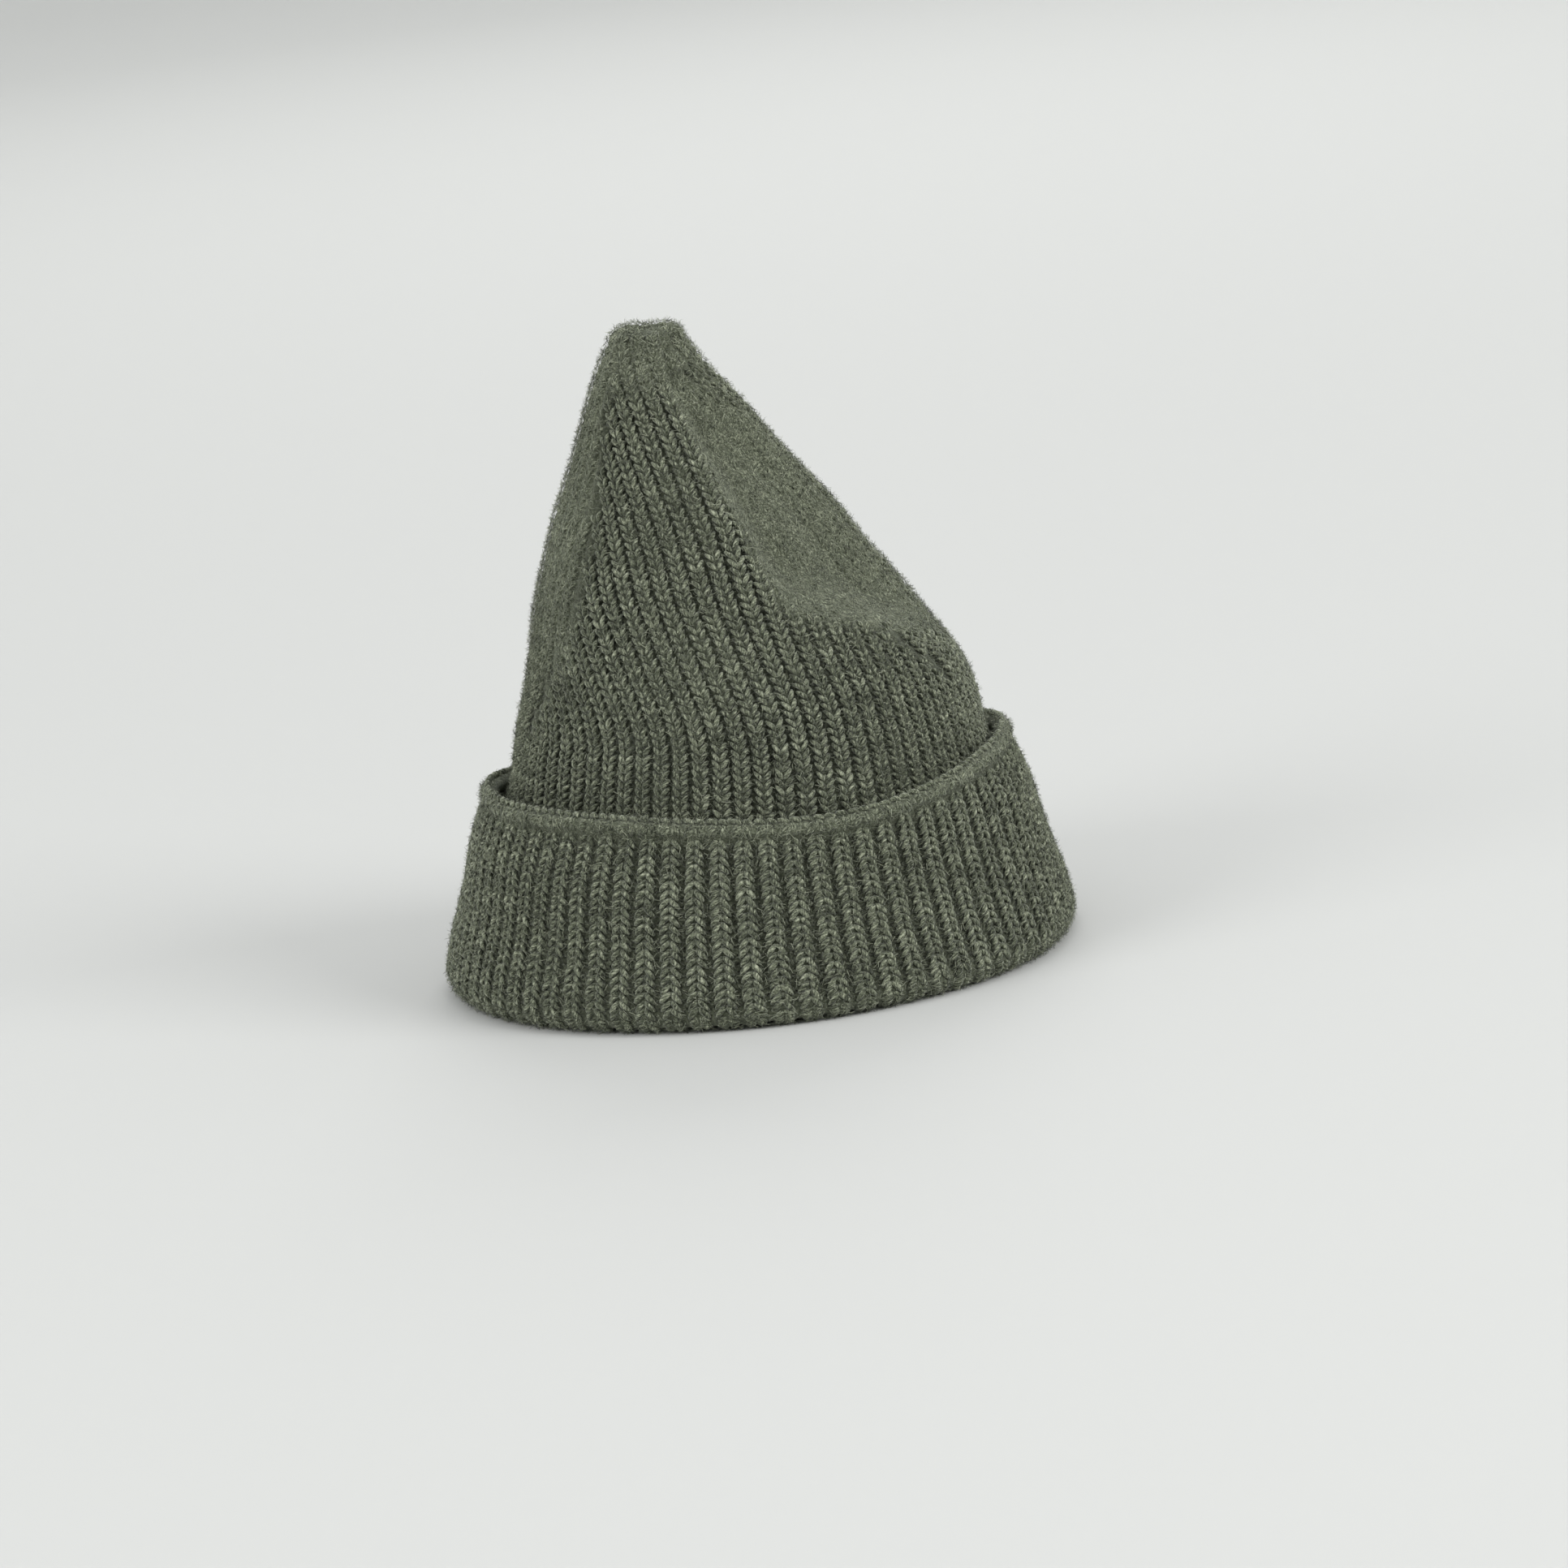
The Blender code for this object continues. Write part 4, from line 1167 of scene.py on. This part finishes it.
def build_cuff(knitter, scatter, stitch, inner_stitch, bar, hairs, paints):
    folded = build_folded_fabric(paints["ground"])
    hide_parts("cuff_fold", "turn_up_cuff", "inner_band")
    edge = build_edge_roll(paints["ground"])
    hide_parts("cuff_edge_welt")
    pieces = [edge]

    def inset(angle, way):
        rib = crest((angle - GORE_LINE) / (360.0 / RIBS))
        on_roll = way < CUFF_START
        return np.where(on_roll, 0.3, 0.15 + 0.8 * (1 - rib) * (1 - 0.6 * bump(way - FOLD_WAY, 6 * MM))) * MM

    def nap(angle, way):
        return 0.80 + 0.35 * bump(way - CUFF_START, 4 * MM) + 0.08 * np.sin(np.radians(angle) * 5)
    loops = edge_loop()
    for q in range(GORES):
        name = str(q + 1)
        mesh = knitter.knit("cuff", folded_sites(q, EDGE_FADE, OUTSIDE_END), stitch, paints["yarn"],
                            1.05 * MM, widen=0.97, unevenness=0.10)
        pieces.append(make_piece("cuff_ribs_" + name, mesh, paints["yarn"]))
        # painted shade: the purl bars in the grooves carry no felting, so the ground paint darkens them all
        mesh = knitter.knit("grooves", folded_sites(q, CUFF_START, OUTSIDE_END, groove=True), bar,
                            paints["ground"], 2.0 * MM, widen=1.1)
        pieces.append(make_piece("cuff_grooves_" + name, mesh, paints["ground"]))
        mesh = knitter.knit("band", folded_sites(q, OUTSIDE_END, OUTLINE_LENGTH, groove=True), inner_stitch,
                            paints["inside"], 1.15 * MM, widen=1.02)
        pieces.append(make_piece("band_ribs_" + name, mesh, paints["inside"]))
        angles = GORE_LINE + GORE_SPAN * (q + np.linspace(0, 1, RIBS_IN_GORE * 4 + 1))
        ways = np.concatenate([np.linspace(0, CUFF_START, 10)[:-1],
                               np.linspace(CUFF_START, FOLD_WAY - 9 * MM, 14)[:-1],
                               np.linspace(FOLD_WAY - 9 * MM, OUTSIDE_END, 14)])
        mesh = nap_mesh(scatter, folded_surface, angles, ways, -1.0, inset, nap,
                        nap_layers(hairs, paints["fibres"], 200 + 10 * q))
        pieces.append(make_piece("cuff_nap_" + name, mesh, paints["fibres"]))
    angles = GORE_LINE + 360.0 / RIBS * (np.arange(RIBS * 2) + 0.5) / 2
    found = line_sites(folded_surface, angles, OUTLINE_WAY[3], 0.75 * MM, 1.05, side=-1.0)
    mesh = knitter.knit("loops", found, loops, paints["yarn"], 0.0)
    pieces.append(make_piece("cast_on_loops", mesh, paints["yarn"]))
    bpy.data.objects.remove(loops)
    return folded, pieces


def main():
    bpy.context.scene.view_settings.view_transform = "Standard"
    build_camera()
    build_stage()
    build_lights()
    # painted shade: the inside band's yarn is the same heather wool darkened to 0.8 for the shade inside the
    # hat
    paints = {"yarn": yarn_paint("heather_wool", 1.0), "inside": yarn_paint("heather_wool_inside_painted_shade", 0.8),
              # painted shade: the ground is the heather darkened to 0.85 for the shadow in the grooves and
              # inside
              "ground": fabric_paint("wool_ground_painted_shade", 0.85), "fibres": fibre_paint("loose_fibres", 1.1),
              "seam": yarn_paint("seam_yarn", 0.7)}

    knitter, scatter = Knitter(), fuzz_tree()
    stitch, inner_stitch, bar = knit_stitch(5), knit_stitch(4), purl_bar()
    curled = hair("curled_fibre", 2.6 * MM, 0.080 * MM, 0.45, 3)
    wavy = hair("wavy_fibre", 3.6 * MM, 0.070 * MM, -0.35, 3)
    short = hair("standing_fibre", 2.3 * MM, 0.050 * MM, 0.40, 3)
    hairs = ((curled, 390000.0, (1.05, 1.56), (0.5, 1.2)), (wavy, 280000.0, (1.15, 1.60), (0.5, 1.2)),
             (short, 550000.0, (0.1, 1.25), (0.4, 1.25)))
    helpers = [stitch, inner_stitch, bar, curled, wavy, short]

    crown, on_crown = build_crown(knitter, scatter, stitch, bar, hairs, paints)
    folded, on_folded = build_cuff(knitter, scatter, stitch, inner_stitch, bar, hairs, paints)
    crown_seams, folded_seams = build_seams(knitter, stitch, bar, paints["seam"])
    label = build_label(label_paint())
    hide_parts("care_label")
    thread = build_label_thread(knitter, thread_paint())
    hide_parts("label_thread")
    knot = build_knot(paints["seam"])
    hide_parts("tip_knot")
    for helper in helpers:
        bpy.data.objects.remove(helper)

    for piece in [crown, *on_crown, *crown_seams]:
        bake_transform(piece)
    for piece in [folded, *on_folded, *folded_seams, label, thread]:
        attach(piece, "hat_body")
    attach(knot, "peak")


main()
